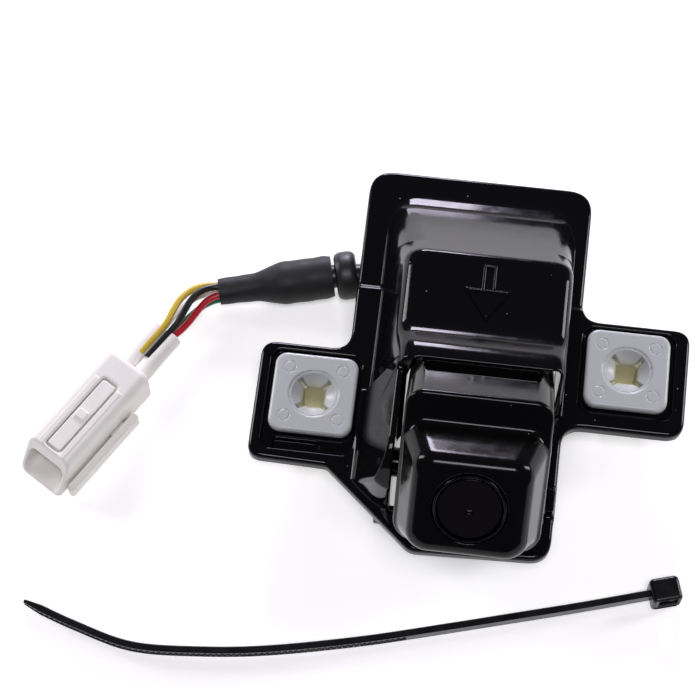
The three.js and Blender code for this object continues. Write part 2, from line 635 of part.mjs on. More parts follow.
function tieHead() {
  const { long, deep, tall } = TIE_HEAD;
  const section = roundedRectangle(-long / 2, long / 2, -deep / 2, deep / 2, 0.7);
  const low = STRAP.wide / 2 - tall / 2;
  const middle = STRAP.wide / 2;
  const slot = block(0.3, 0, TIE_SLOT.long, 10, middle - TIE_SLOT.tall / 2, middle + TIE_SLOT.tall / 2);
  return cut(prism(section, low, low + tall, 2), slot);
}

const headPlace = new THREE.Matrix4().makeRotationZ(TIE_HEAD.turn).setPosition(TIE_HEAD.x, TIE_HEAD.y, 0);
const headBody = solid(geometryOf(tieHead()).applyMatrix4(headPlace));
add(tie, 'cable_tie', strap().add(headBody), 'tieBlack');

const pawlShape = outline([[0.55, -1.5], [1.5, -1.2], [1.5, 1.2], [0.9, 1.5]]);
const middle = STRAP.wide / 2;
const pawl = add(tie, 'tie_pawl', prism(pawlShape, middle - 1.05, middle + 1.05, 2), 'tieBlack');
pawl.position.set(TIE_HEAD.x, TIE_HEAD.y, 0);
pawl.rotation.z = TIE_HEAD.turn;

// ---- the kit's origin: the middle of the footprint of all that isn't on the lead ----
kit.updateMatrixWorld(true);
const footprint = new THREE.Box3();
kit.traverse((piece) => {
  if (piece.isMesh && !leadNames.includes(piece.name)) {
    footprint.expandByObject(piece, true);
  }
});
const centre = footprint.getCenter(new THREE.Vector3());
kit.position.set(-centre.x, -centre.y, -footprint.min.z);

export default kit;
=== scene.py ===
# %% [markdown]
# # Backup camera kit
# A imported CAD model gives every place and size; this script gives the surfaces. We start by
# loading that model, and keep the box that it fills.

# %% Load the frame
import json
import math
from functools import partial, reduce

import bmesh
import bpy
import numpy as np
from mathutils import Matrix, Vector


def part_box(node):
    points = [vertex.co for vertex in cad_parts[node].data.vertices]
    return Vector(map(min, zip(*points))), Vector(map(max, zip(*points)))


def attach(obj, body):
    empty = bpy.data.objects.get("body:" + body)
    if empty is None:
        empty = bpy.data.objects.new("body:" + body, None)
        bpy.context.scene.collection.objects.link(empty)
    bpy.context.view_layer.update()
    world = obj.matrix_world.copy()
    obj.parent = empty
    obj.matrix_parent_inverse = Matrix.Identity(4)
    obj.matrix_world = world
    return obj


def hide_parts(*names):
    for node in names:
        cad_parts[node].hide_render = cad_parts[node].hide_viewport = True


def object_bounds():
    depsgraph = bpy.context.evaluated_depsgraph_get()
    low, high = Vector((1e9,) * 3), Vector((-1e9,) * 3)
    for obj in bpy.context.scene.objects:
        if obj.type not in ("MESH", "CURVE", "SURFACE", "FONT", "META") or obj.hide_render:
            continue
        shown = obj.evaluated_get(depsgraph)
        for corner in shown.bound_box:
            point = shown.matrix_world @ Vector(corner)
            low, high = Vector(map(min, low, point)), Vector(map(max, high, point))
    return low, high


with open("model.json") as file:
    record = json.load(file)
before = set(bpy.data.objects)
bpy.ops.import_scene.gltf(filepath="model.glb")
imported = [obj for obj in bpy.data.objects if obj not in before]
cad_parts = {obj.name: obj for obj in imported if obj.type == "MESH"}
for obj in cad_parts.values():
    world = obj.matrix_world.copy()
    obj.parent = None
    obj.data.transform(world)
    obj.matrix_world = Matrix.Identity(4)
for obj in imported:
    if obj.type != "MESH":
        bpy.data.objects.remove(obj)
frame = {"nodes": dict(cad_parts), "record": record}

cad_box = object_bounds()
print("CAD box in mm:", [round(value * 1000, 1) for corner in cad_box for value in corner])

# %% [markdown]
# ## Places
# The maker's drawings use millimetres and a few local frames: one for the bracket, one along the
# lens, one for the plug and one for the tie. Each is an origin and three directions.

# %% Frames
MM = 0.001
TABLE = -10.5
FLANGE_LEFT, FLANGE_BACK = -32.8, 35.0
bracket_low, bracket_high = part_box("mounting_bracket")
DRAWING_ZERO = np.array([
    bracket_low[0] / MM - FLANGE_LEFT,
    bracket_high[1] / MM - FLANGE_BACK,
    bracket_low[2] / MM - TABLE,
])


class Place:
    """A local frame in millimetres, given by its origin and axes in the bracket's drawing."""

    def __init__(self, origin, across, forward, up):
        self.origin = np.array(origin, float)
        self.axes = np.array([across, forward, up], float)

    def kit(self, points):
        return self.origin + np.asarray(points, float) @ self.axes

    def world(self, points):
        return (self.kit(points) + DRAWING_ZERO) * MM


def turned_place(origin, angle):
    """A frame turned about the vertical."""
    cosine, sine = math.cos(angle), math.sin(angle)
    return Place(origin, (cosine, sine, 0), (-sine, cosine, 0), (0, 0, 1))


HALF_ROOT = math.sqrt(0.5)
bracket = Place((0, 0, 0), (1, 0, 0), (0, 1, 0), (0, 0, 1))
lens = Place((3, -31.1, 20.3), (1, 0, 0), (0, HALF_ROOT, HALF_ROOT), (0, -HALF_ROOT, HALF_ROOT))
plug = turned_place((-54.1, -4.2, TABLE), math.pi + 1.021)
print("drawing zero in the packed frame, mm:", DRAWING_ZERO.round(3))

# %% [markdown]
# ## Camera
# The camera looks down steeply from just right of the front, and is aimed at a point on the ears'
# plane.

# %% Camera
AZIMUTH, ELEVATION = math.radians(6.73), math.radians(66.72)
DISTANCE = 350 * MM
SENSOR = 36
VIEW_DEPTH, VIEW_WIDTH = 2157, 700
FOCAL = SENSOR * VIEW_DEPTH / VIEW_WIDTH
AIM = Vector(bracket.world((-18.51, 0.92, 0)))
to_camera = Vector((
    math.sin(AZIMUTH) * math.cos(ELEVATION),
    -math.cos(AZIMUTH) * math.cos(ELEVATION),
    math.sin(ELEVATION),
))
camera = bpy.data.objects.new("camera", bpy.data.cameras.new("camera"))
bpy.context.scene.collection.objects.link(camera)
camera.location = AIM + to_camera * DISTANCE
camera.rotation_euler = (-to_camera).to_track_quat("-Z", "Y").to_euler()
camera.data.sensor_width = SENSOR
camera.data.lens = FOCAL
camera.data.clip_start = 0.01
bpy.context.scene.camera = camera
print("lens in mm:", round(FOCAL, 1))

# %% [markdown]
# ## One node helper and one colour helper
# Every finish is a node tree. This helper adds a node of any kind: a keyword names an input, and
# its value is a constant or another node, which is then linked. Colours are written as sRGB hex, as
# a paint chart gives them, and turned into the linear values that light needs.

# %% Material helpers
def linear(hex_colour):
    channels = [int(hex_colour[i:i + 2], 16) / 255 for i in (1, 3, 5)]
    return [c / 12.92 if c <= 0.04045 else ((c + 0.055) / 1.055) ** 2.4 for c in channels] + [1.0]


def result(node):
    """What a node makes: a colour mix gives it third, and every other node here gives it first."""
    return node.outputs[2 if node.bl_idname == "ShaderNodeMix" else 0]


def add_node(tree, kind, settings=None, into=None, **inputs):
    """Adds a node. An input takes a constant, a node or an output; into is a socket to feed."""
    node = tree.nodes.new("ShaderNode" + kind)
    for name, value in (settings or {}).items():
        setattr(node, name, value)
    for name, value in inputs.items():
        socket = node.inputs[int(name[2:]) if name.startswith("in") else name.replace("_", " ")]
        if isinstance(value, bpy.types.Node):
            value = result(value)
        if isinstance(value, bpy.types.NodeSocket):
            tree.links.new(value, socket)
        else:
            socket.default_value = linear(value) if isinstance(value, str) else value
    if into:
        tree.links.new(result(node), into)
    return node


def per_metre(size_mm):
    """How many features of this size fit in a metre, which is what a texture's scale means here."""
    return 1 / (size_mm * MM)


def new_finish(name, base, roughness, **sockets):
    """Makes a material; gives it, a way to add nodes, the shader's inputs and the place."""
    finish = bpy.data.materials.new(name)
    finish.use_nodes = True
    finish.diffuse_color = linear(base)
    finish.node_tree.nodes.clear()
    add = partial(add_node, finish.node_tree)
    shader = add("BsdfPrincipled", Base_Color=base, Roughness=roughness, **sockets)
    add("OutputMaterial", Surface=shader)
    return finish, add, shader.inputs, add("TexCoord").outputs["Object"]


COLOUR_MIX = {"data_type": "RGBA"}
print("helpers ready:", linear("#808080")[0])

# %% [markdown]
# ## Moulded and rubber finishes
# Each has a colour that clouds slightly, a gloss that varies where it was handled, and a grain
# from its mould. One function builds them all from real sizes, so what sets two plastics apart is
# a line in a table. The finest grain is drawn coarser than it is, so that it still shows at this
# distance.

# %% Moulded finishes
CLOUD_MM = 3


def moulded(name, base, clouded, roughness, grain_mm, grain_height_mm, ior=1.5, **sockets):
    """base clouds towards clouded; roughness is its lowest and highest value."""
    finish, add, surface, where = new_finish(name, base, roughness[0], IOR=ior, **sockets)
    cloud = add("TexNoise", Vector=where, Scale=per_metre(CLOUD_MM), Detail=5.0)
    add("Mix", COLOUR_MIX, surface["Base Color"], Factor=cloud, in6=base, in7=clouded)
    add(
        "MapRange", into=surface["Roughness"], Value=cloud,
        From_Min=0.3, From_Max=0.7, To_Min=roughness[0], To_Max=roughness[1],
    )
    grain = add("TexNoise", Vector=where, Scale=per_metre(grain_mm), Detail=3.0)
    relief = grain_height_mm * MM
    add("Bump", into=surface["Normal"], Height=grain, Strength=1.0, Distance=relief)
    return finish


FINISHES = {
    # PBT from a spark-eroded tool: a dense white with a soft sheen
    "white_pbt": moulded("pbt_moulded", "#eeebe3", "#f5f3ee", (0.32, 0.45), 0.5, 0.006),
    # nitrile rubber: black, dull, with a fine tooth
    "black_rubber": moulded(
        "nitrile_rubber_moulded", "#0c0c0d", "#151516", (0.35, 0.55), 0.4, 0.01
    ),
    # PVC jacket, extruded: black with a low sheen
    "black_cable_jacket": moulded(
        "pvc_jacket_extruded", "#0b0b0c", "#161617", (0.3, 0.45), 0.6, 0.01
    ),
    # polyolefin sleeve shrunk with hot air: matt, with soft wrinkles
    "matt_heatshrink": moulded(
        "polyolefin_shrunk", "#161618", "#1f1f21", (0.5, 0.62), 1.2, 0.05, Specular_IOR_Level=0.35
    ),
    # nylon 66 from a satin tool: black with a broad, soft highlight
    "black_nylon_tie": moulded(
        "nylon_66_moulded", "#0b0b0d", "#141417", (0.22, 0.34), 0.4, 0.006, 1.53,
        Specular_IOR_Level=0.3,
    ),
    # lens cell of glass-filled plastic, matt to swallow stray light
    "matt_black_barrel": moulded("filled_nylon_matt", "#0a0a0a", "#121212", (0.55, 0.7), 0.2, 0.01),
    # silicon behind its cover: dark, with a hint of violet
    "sensor_silicon": moulded("silicon_diced", "#1c2030", "#2b2440", (0.1, 0.16), 0.3, 0.001),
    # epoxy board under solder mask: green with a woven glass core just showing
    "green_board": moulded("epoxy_glass_masked", "#1b5a34", "#236b3f", (0.35, 0.5), 0.25, 0.01),
}
# wire insulation, extruded PVC with a clean gloss: each wire's colour, and what it clouds towards
WIRE_COLOURS = {
    "yellow": ("#c8a92e", "#d9bd48"),
    "black": ("#0c0c0e", "#17171a"),
    "red": ("#b01426", "#c21f30"),
    "green": ("#0b6448", "#11775a"),
    "white": ("#e2e0dc", "#efeeea"),
}
for colour, (base, clouded) in WIRE_COLOURS.items():
    FINISHES["pvc_" + colour] = moulded(
        "pvc_" + colour + "_extruded", base, clouded, (0.28, 0.38), 0.8, 0.006
    )
print("moulded finishes:", len(FINISHES))

# %% [markdown]
# ## Finishes with their own physics
# Gloss ABS shows almost none of its own colour: its look is reflection, with a faint sink ripple
# from cooling and a few specks of dust. Natural nylon lets light in; deep in its hole a straw tint
# is painted for the light that has come through it. Foam is a skin of small cells. Glass, steel,
# brass and the blackened ring are the rest.

# %% Gloss ABS
HAZE_MM, DUST_CELL_MM, SINK_MM = 1.8, 1.6, 9
DUSTY_SHARE, DUST = 0.12, "#9a9894"


def gloss_abs(name, base, roughness):
    """ABS from a polished tool: mirror-like, with dust and with sinks from cooling."""
    finish, add, surface, where = new_finish(
        name, base, roughness, IOR=1.54, Specular_IOR_Level=0.16
    )
    haze = add("TexNoise", Vector=where, Scale=per_metre(HAZE_MM), Detail=6.0)
    add(
        "MapRange", into=surface["Roughness"], Value=haze,
        From_Min=0.35, From_Max=0.75, To_Min=roughness, To_Max=roughness * 2,
    )
    cells = add("TexVoronoi", Vector=where, Scale=per_metre(DUST_CELL_MM))
    dot = add("MapRange", Value=cells, From_Min=0.04, From_Max=0.07, To_Min=1.0, To_Max=0.0)
    chance = add("SeparateColor", Color=cells.outputs["Color"])
    chosen = add("Math", {"operation": "LESS_THAN"}, in0=chance, in1=DUSTY_SHARE)
    speck = add("Math", {"operation": "MULTIPLY"}, in0=dot, in1=chosen)
    add("Mix", COLOUR_MIX, surface["Base Color"], Factor=speck, in6=base, in7=DUST)
    sink = add("TexNoise", Vector=where, Scale=per_metre(SINK_MM), Detail=1.0)
    add("Bump", into=surface["Normal"], Height=sink, Strength=1.0, Distance=0.03 * MM)
    return finish


FINISHES["gloss_black_abs"] = gloss_abs("abs_polished_mould", "#0b0b0d", 0.07)
FINISHES["gloss_black_housing"] = gloss_abs("abs_housing_polished_mould", "#090909", 0.09)
print("gloss ABS ready")

# %% Nylon and foam
# the straw colour is painted light: a tint deep in the grommet's hole for light that has passed
# through thick nylon
MILKY, THROUGH_LIGHT_STRAW, THROUGH_LIGHT_DEPTH_MM = "#c0c4c2", "#dcd6a6", 2.5


def natural_nylon():
    """Unfilled nylon 6: milky at the skin, with a straw tint painted deep in the hole for light
    come through the nylon.
    """
    finish, add, surface, where = new_finish(
        "nylon_6_natural_moulded", MILKY, 0.3, IOR=1.53,
        Subsurface_Weight=0.35, Subsurface_Radius=(1.0, 0.9, 0.75), Subsurface_Scale=0.9 * MM,
    )
    height = add("SeparateXYZ", Vector=where).outputs["Z"]
    skin = bracket.world((0, 0, 0.2))[2]
    painted_depth_tint = add(
        "MapRange", Value=height,
        From_Min=skin, From_Max=skin - THROUGH_LIGHT_DEPTH_MM * MM, To_Min=0.0, To_Max=1.0,
    )
    # painted light: straw tint mixed in towards the bottom of the hole, for light passed through
    # the nylon
    add("Mix", COLOUR_MIX, surface["Base Color"], Factor=painted_depth_tint, in6=MILKY, in7=THROUGH_LIGHT_STRAW)
    tooth = add("TexNoise", Vector=where, Scale=per_metre(0.5), Detail=3.0)
    add("Bump", into=surface["Normal"], Height=tooth, Strength=1.0, Distance=0.006 * MM)
    return finish


def closed_cell_foam():
    """EPDM foam strip: olive-black, with cells 0.5 mm across."""
    finish, add, surface, where = new_finish("epdm_foam_skinned", "#2d2e29", 0.9)
    cells = add("TexVoronoi", Vector=where, Scale=per_metre(0.5))
    add("Mix", COLOUR_MIX, surface["Base Color"], Factor=cells, in6="#24251f", in7="#4a4b43")
    add("Bump", into=surface["Normal"], Height=cells, Strength=1.0, Distance=0.08 * MM)
    return finish


print("nylon and foam ready")

# %% Metals and glass
def machined(name, base, roughness, scratch_mm):
    """A turned or stamped metal: fine scratches vary its roughness."""
    finish, add, surface, where = new_finish(name, base, roughness, Metallic=1.0)
    scratches = add("TexNoise", Vector=where, Scale=per_metre(scratch_mm), Detail=6.0)
    add(
        "MapRange", into=surface["Roughness"], Value=scratches,
        From_Min=0.3, From_Max=0.7, To_Min=roughness * 0.7, To_Max=roughness * 1.4,
    )
    return finish


def lens_glass():
    """Cover glass over a black mask: almost no colour, a hard reflection, faint fingerprints."""
    finish, add, surface, where = new_finish(
        "borosilicate_polished", "#050507", 0.02, IOR=1.47, Coat_Weight=0.3
    )
    smear = add("TexNoise", Vector=where, Scale=per_metre(2), Detail=4.0)
    add(
        "MapRange", into=surface["Roughness"], Value=smear,
        From_Min=0.45, From_Max=0.8, To_Min=0.015, To_Max=0.08,
    )
    return finish


FINISHES["natural_nylon"] = natural_nylon()
FINISHES["closed_cell_foam"] = closed_cell_foam()
FINISHES["lens_glass"] = lens_glass()
FINISHES["steel_screws"] = machined("steel_zinc_plated", "#b9bbc0", 0.3, 0.3)
FINISHES["brass_terminals"] = machined("brass_stamped", "#c8a050", 0.25, 0.2)
FINISHES["blackened_ring"] = machined("aluminium_black_anodised", "#2a2a2e", 0.22, 0.2)
print("finishes:", len(FINISHES))

# %% [markdown]
# ## Finishing the carried-over parts
# The parts inside the camera and the plug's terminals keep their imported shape. Each gets its
# finish from the slot that the record gives it.

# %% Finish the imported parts
slot_of = {part["node"]: part["material_slot"] for part in frame["record"]["subparts"]}
for name, packed in frame["nodes"].items():
    packed.data.materials.clear()
    packed.data.materials.append(FINISHES[slot_of[name]])
print("packed parts finished:", len(frame["nodes"]))

# %% [markdown]
# ## Adding a piece
# A piece is a mesh with smooth shading whose normals come from the true surface. It rides on a
# body, takes a slot, and hides the imported part it stands for.

# %% Add a piece
def add_piece(name, points, faces, normals=None, node=None, body="root", slot=None):
    mesh = bpy.data.meshes.new(name)
    mesh.from_pydata(np.asarray(points).tolist(), [], [list(map(int, face)) for face in faces])
    mesh.polygons.foreach_set("use_smooth", [True] * len(mesh.polygons))
    if normals is not None:
        mesh.normals_split_custom_set_from_vertices(np.asarray(normals).tolist())
    return finish_piece(bpy.data.objects.new(name, mesh), node, body, slot)


def finish_piece(piece, node, body, slot):
    bpy.context.scene.collection.objects.link(piece)
    slot = slot or slot_of[node]
    piece.data.materials.append(FINISHES[slot])
    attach(piece, body)
    if node:
        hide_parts(node)
    return piece


print("piece helper ready")

# %% [markdown]
# ## Lead: routes
# A wire or cable is a curve with a round section. Its route is the lead's own: a smooth curve
# through a few points, which we sample evenly so that the length can be measured.

# %% Smooth routes
def smooth_route(points, count):
    """Evenly spaced points on a Catmull-Rom curve through the given ones."""
    points = np.array(points, float)
    padded = np.vstack([2 * points[0] - points[1], points, 2 * points[-1] - points[-2]])
    t = np.linspace(0, 1, 24, endpoint=False)[:, None]
    run = []
    for a, b, c, d in zip(padded, padded[1:], padded[2:], padded[3:]):
        bend, twist = 2 * a - 5 * b + 4 * c - d, 3 * b - a - 3 * c + d
        run.append(0.5 * (2 * b + (c - a) * t + bend * t**2 + twist * t**3))
    dense = np.vstack(run + [points[-1:]])
    along = np.concatenate([[0], np.cumsum(np.linalg.norm(np.diff(dense, axis=0), axis=1))])
    even = np.linspace(0, along[-1], count)
    return np.stack([np.interp(even, along, dense[:, i]) for i in range(3)], 1)


def unit(vector):
    return np.asarray(vector, float) / np.linalg.norm(vector)


def add_cord(name, node, route, radius):
    """route is in the bracket's millimetres."""
    curve = bpy.data.curves.new(name, "CURVE")
    curve.dimensions = "3D"
    curve.bevel_depth = radius * MM
    curve.bevel_resolution = 5
    curve.use_fill_caps = True
    spline = curve.splines.new("POLY")
    spline.points.add(len(route) - 1)
    for point, place in zip(spline.points, bracket.world(route)):
        point.co = (*place, 1)
    spline.use_smooth = True
    return finish_piece(bpy.data.objects.new(name, curve), node, "root", None)


def declare_cord(route):
    """Returns the cord's length in millimetres, measured along its route."""
    length = np.linalg.norm(np.diff(route, axis=0), axis=1).sum()
    tuple(bracket.world(route[0]))
    return length


print("route helpers ready")

# %% [markdown]
# ## Lead: cable and wires
# The jacketed cable leaves the gland behind the camera, lies on the table, passes under the flange
# and through the rubber bead into the sleeve. There the jacket ends and five wires go on in a
# loose twist to the plug. The hidden ends run on inside the gland, the sleeve and the neck, as the
# real ones do.

# %% Cable and wires
CABLE_RADIUS = 1.95
CABLE_ROUTE = [
    (3, -1.65, -5.82), (2.95, 0.4, -7.35), (2.6, 2.6, -8.2), (1.9, 5, -8.5), (0.5, 7.7, -8.5),
    (-1.7, 10.5, -8.5), (-4.8, 13.2, -8.4), (-8.6, 15.3, -8), (-12.6, 16.7, -7.3),
    (-16.6, 17.4, -6.7), (-19, 17.4, -6.5), (-21, 17.1, -6.35), (-22.9, 16.7, -6.3),
]
SLEEVE_START = np.array((-23.3, 16.63, -6.3))
SLEEVE_END = np.array((-41.9, 12.1, -7.5))
SLEEVE_LENGTH = np.linalg.norm(SLEEVE_END - SLEEVE_START)
sleeve_way = unit(SLEEVE_END - SLEEVE_START)
IN_GLAND, IN_SLEEVE = 3.0, 5.0
cable_start = CABLE_ROUTE[0] + lens.axes[2] * IN_GLAND
cable_end = SLEEVE_START + sleeve_way * IN_SLEEVE
cable_route = smooth_route([cable_start] + CABLE_ROUTE + [cable_end], 40)
WIRE_RADIUS = 0.575
WIRES = list(WIRE_COLOURS)
BUNDLE_ROUTE = [
    (-42.4, 11.98, -7.53), (-43.6, 11.62, -7.55), (-45.2, 10.6, -7.5), (-46.6, 8.8, -7.35),
    (-47.6, 6.8, -7.15), (-48.49, 5, -7), (-49.12, 3.98, -6.92),
]
BUNDLE_NARROW, BUNDLE_WIDE = 1.28, 1.85
BUNDLE_TWIST = -0.87
IN_SLEEVE_END, IN_NECK = 16.0, 6.5


def wire_route(index):
    """The bundle's middle, with this wire's own turn round it."""
    middle = smooth_route(BUNDLE_ROUTE, 21)
    ahead = np.gradient(middle, axis=0)
    ahead /= np.linalg.norm(ahead, axis=1)[:, None]
    across = np.cross((0, 0, 1), ahead)
    across /= np.linalg.norm(across, axis=1)[:, None]
    up = np.cross(ahead, across)
    along = np.linspace(0, 1, len(middle))[:, None]
    radius = BUNDLE_NARROW + (BUNDLE_WIDE - BUNDLE_NARROW) * np.sin(math.pi * along)
    angle = math.pi - 2 * math.pi * index / len(WIRES) + BUNDLE_TWIST * along
    seen = middle + radius * (np.cos(angle) * across + np.sin(angle) * up)
    start = [seen[0] - sleeve_way * back for back in np.linspace(IN_SLEEVE_END, 1, 9)]
    end = [seen[-1] + plug.axes[0] * ahead_mm for ahead_mm in np.linspace(1, IN_NECK, 5)]
    return smooth_route(np.vstack([start, seen, end]), 40)


cable = add_cord("jacketed_cable", "camera_cable", cable_route, CABLE_RADIUS)
wires = [
    add_cord(colour + "_wire", "wire_" + colour, wire_route(i), WIRE_RADIUS)
    for i, colour in enumerate(WIRES)
]
print("cords:", cable.name, [wire.name for wire in wires])

# %% [markdown]
# ## Shapes as distances
# A moulded part is easiest to describe as it is designed: simple bodies joined and cut, with every
# edge and corner rounded. If each body is a function that gives the distance to its surface, below
# zero inside, then joining is a minimum and cutting a maximum. A smooth minimum leaves a fillet, as
# a mould must have. These functions work on whole arrays of points at once.

# %% Distance helpers
def both(*shapes):
    """Only what is in every body, with sharp edges."""
    return reduce(np.maximum, shapes)


def fuse(a, b, fillet):
    """Either body, with a concave fillet where they meet."""
    overlap = np.maximum(fillet - np.abs(a - b), 0) / np.maximum(fillet, 1e-6)
    return np.minimum(a, b) - overlap**2 * fillet / 4


def meet(a, b, rounding):
    """Only what is in the two bodies, with a rounded edge."""
    return -fuse(-a, -b, rounding)


def carve(a, b, rounding):
    """The first body less the second."""
    return -fuse(-a, b, rounding)


def plate(u, v, low, high, radius):
    """A rounded rectangle in the plane, from its low corner to its high one."""
    du = np.abs(u - (low[0] + high[0]) / 2) - (high[0] - low[0]) / 2 + radius
    dv = np.abs(v - (low[1] + high[1]) / 2) - (high[1] - low[1]) / 2 + radius
    outside = np.hypot(np.maximum(du, 0), np.maximum(dv, 0))
    return outside + np.minimum(both(du, dv), 0) - radius


def slab(w, low, high):
    return both(low - w, w - high)


def leaning(u, v, first, second):
    """A half-plane whose edge runs through two points; the body is to the left of the edge."""
    du, dv = second[0] - first[0], second[1] - first[1]
    return ((u - first[0]) * dv - (v - first[1]) * du) / math.hypot(du, dv)


print("a 2 mm fillet between two walls reaches", fuse(np.array(0.0), np.array(0.0), 2.0))

# %% [markdown]
# ## Meshing a distance
# Surface nets turn such a function into a mesh of even quads: one point for each grid cell that
# the surface crosses, and one face for each grid edge. The points are then relaxed and pulled on
# to the true surface along its slope, which also gives exact normals for shading.

# %% Surface nets
def slope(distance, points, step=0.02):
    shifts = np.eye(3) * step
    return np.stack([distance(points + s) - distance(points - s) for s in shifts], -1) / (2 * step)


def surface_nets(distance, low, high, cell):
    axes = [np.arange(a - 1.5 * cell, b + 2.5 * cell, cell) for a, b in zip(low, high)]
    inside = np.empty([len(axis) for axis in axes], bool)
    for i, x in enumerate(axes[0]):
        layer = np.stack(np.meshgrid(x, axes[1], axes[2], indexing="ij"), -1)
        inside[i] = distance(layer)[0] < 0
    count = sum(
        inside[i:i - 1 or None, j:j - 1 or None, k:k - 1 or None].astype(np.int8)
        for i in (0, 1) for j in (0, 1) for k in (0, 1)
    )
    crossed = (count > 0) & (count < 8)
    number = np.full(crossed.shape, -1)
    number[crossed] = np.arange(crossed.sum())
    points = (np.argwhere(crossed) + 0.5) * cell + [axis[0] for axis in axes]
    faces = []
    for axis in range(3):
        solid, index = np.moveaxis(inside, axis, 0), np.moveaxis(number, axis, 0)
        i, j, k = np.nonzero(solid[:-1, 1:-1, 1:-1] != solid[1:, 1:-1, 1:-1])
        square = (index[i, j, k], index[i, j + 1, k], index[i, j + 1, k + 1], index[i, j, k + 1])
        ring = np.stack(square, 1)
        turned_in = solid[i + 1, j + 1, k + 1] ^ (axis == 1)
        ring[turned_in] = ring[turned_in, ::-1]
        faces.append(ring)
    return points, np.concatenate(faces)


def settle(distance, points, faces, cell):
    """Evens the points out and pulls them on to the surface."""
    corners = faces.ravel()
    share = np.bincount(corners, minlength=len(points))[:, None]
    for evening in (0.6, 0.6, 0.4, 0, 0):
        if evening:
            middle = np.repeat(points[faces].mean(1), 4, axis=0)
            total = [np.bincount(corners, middle[:, i], len(points)) for i in range(3)]
            mean = np.stack(total, 1) / share
            points = points + evening * (mean - points)
        rise = slope(distance, points)
        steep = np.maximum((rise**2).sum(1), 0.05)
        points = points - np.clip((distance(points) / steep)[:, None] * rise, -cell, cell)
    rise = slope(distance, points)
    return points, rise / np.maximum(np.linalg.norm(rise, axis=1), 1e-6)[:, None]


def mould(name, distance, place, low, high, cell, **piece):
    """Meshes a distance given in the place's own millimetres, and adds it as a piece."""
    points, faces = surface_nets(distance, low, high, cell)
    points, normals = settle(distance, points, faces, cell)
    print(name, "faces:", len(faces))
    return add_piece(name, place.world(points), faces, normals @ place.axes, **piece)


print("surface nets ready")

# %% [markdown]
# ## Flange outline
# The bracket's flange is a flat plate whose outline turns twelve rounded corners. Its distance is
# worked out once on a fine grid in plan, and read off from there.

# %% Flange outline
FLANGE_CORNERS = [
    (-18.8, 35, 4.2), (18.8, 35, 4.2), (18.5, 10.7, 3), (36.3, 10.7, 2.6), (36.1, -8.1, 3),
    (16.8, -8.1, 3.5), (16.6, -31, 3.6), (-5.4, -31.8, 3), (-20, -19.3, 1.6), (-32.8, -19, 2.4),
    (-32.8, 1.2, 2.6), (-18.6, 1.2, 3),
]


def rounded_corners(corners, steps=8):
    """The outline's points, with each corner drawn as a short curve."""
    line = []
    for i, (x, y, radius) in enumerate(corners):
        corner = np.array((x, y))
        back = unit(np.array(corners[i - 1][:2]) - corner)
        ahead = unit(np.array(corners[(i + 1) % len(corners)][:2]) - corner)
        run = radius / math.tan(math.acos(float(back @ ahead)) / 2)
        for t in np.linspace(0, 1, steps):
            line.append(corner + back * run * (1 - t) ** 2 + ahead * run * t**2)
    return np.array(line)


class PlanOutline:
    """Signed distance to a closed outline, tabulated in plan."""

    def __init__(self, line, pitch=0.1, margin=3):
        self.low, self.pitch = line.min(0) - margin, pitch
        spans = np.ceil((line.max(0) + margin - self.low) / pitch).astype(int)
        sides = [self.low[i] + pitch * np.arange(spans[i]) for i in (0, 1)]
        x, y = np.meshgrid(*sides, indexing="ij")
        near, inside = np.full(x.shape, 1e9), np.zeros(x.shape, bool)
        for (ax, ay), (bx, by) in zip(line, np.roll(line, -1, 0)):
            ex, ey = bx - ax, by - ay
            t = np.clip(((x - ax) * ex + (y - ay) * ey) / max(ex * ex + ey * ey, 1e-9), 0, 1)
            near = np.minimum(near, (x - ax - t * ex) ** 2 + (y - ay - t * ey) ** 2)
            if ay != by:
                inside ^= ((ay > y) != (by > y)) & (x < ex * (y - ay) / ey + ax)
        self.table = np.where(inside, -1, 1) * np.sqrt(near)

    def __call__(self, x, y):
        u = np.clip((x - self.low[0]) / self.pitch, 0, self.table.shape[0] - 1.001)
        v = np.clip((y - self.low[1]) / self.pitch, 0, self.table.shape[1] - 1.001)
        i, j = u.astype(int), v.astype(int)
        s, t = u - i, v - j
        near = self.table[i, j] * (1 - t) + self.table[i, j + 1] * t
        far = self.table[i + 1, j] * (1 - t) + self.table[i + 1, j + 1] * t
        return near * (1 - s) + far * s


flange_outline = PlanOutline(rounded_corners(FLANGE_CORNERS))
print("flange outline table:", flange_outline.table.shape)

# %% [markdown]
# ## Bracket
# One moulding carries everything: a stepped flange with two ears, a shroud over the lead whose
# flat pad turns up into a hood, and a cradle below for the camera. The back slope flattens towards
# its foot, as a row of planes with soft fillets, while the sides meet the flange sharply.

# %% Bracket sizes
BACK_STEP, BACK_THICK, FLANGE_THICK, STEP_LINE = 1.2, 2.0, 2.4, 12.6
PAD_HEIGHT = 14
HOOD_LINE = [(0, PAD_HEIGHT), (-3.9, 16.85), (-6.25, 17.35), (-6.65, 16.95)]
LEFT_WALL = [(-10.9, 13.3), (-16.3, -2)]
SLOPE_LINE = [(30.7, -1.2), (28.2, -0.2), (24, 3.4), (20, 7.3), (13.6, 14)]
COVE = 0.35
HOOD_CORNER, PAD_CORNER = 2.4, 2.2
GROMMETS = {"left_screw_grommet": (-23.4, -7.65), "right_screw_grommet": (26.35, 2.27)}
POCKETS = [((-30.9, -17.2), (-16.3, -0.2)), ((19.0, -5.3), (33.9, 9.6))]
SIDE_SCREW = (-15.54, -5.16)


def flange(x, y, z):
    edge = flange_outline(x, y)
    step = leaning(y, z, (STEP_LINE + 0.5, -BACK_STEP), (STEP_LINE, 0))
    ears = meet(meet(meet(edge, z, 0.8), -FLANGE_THICK - z, 0.4), step, 0.5)
    back = meet(meet(edge, z + BACK_STEP, 0.9), -BACK_STEP - BACK_THICK - z, 0.4)
    return fuse(ears, both(back, STEP_LINE - BACK_THICK - y), 0.5)


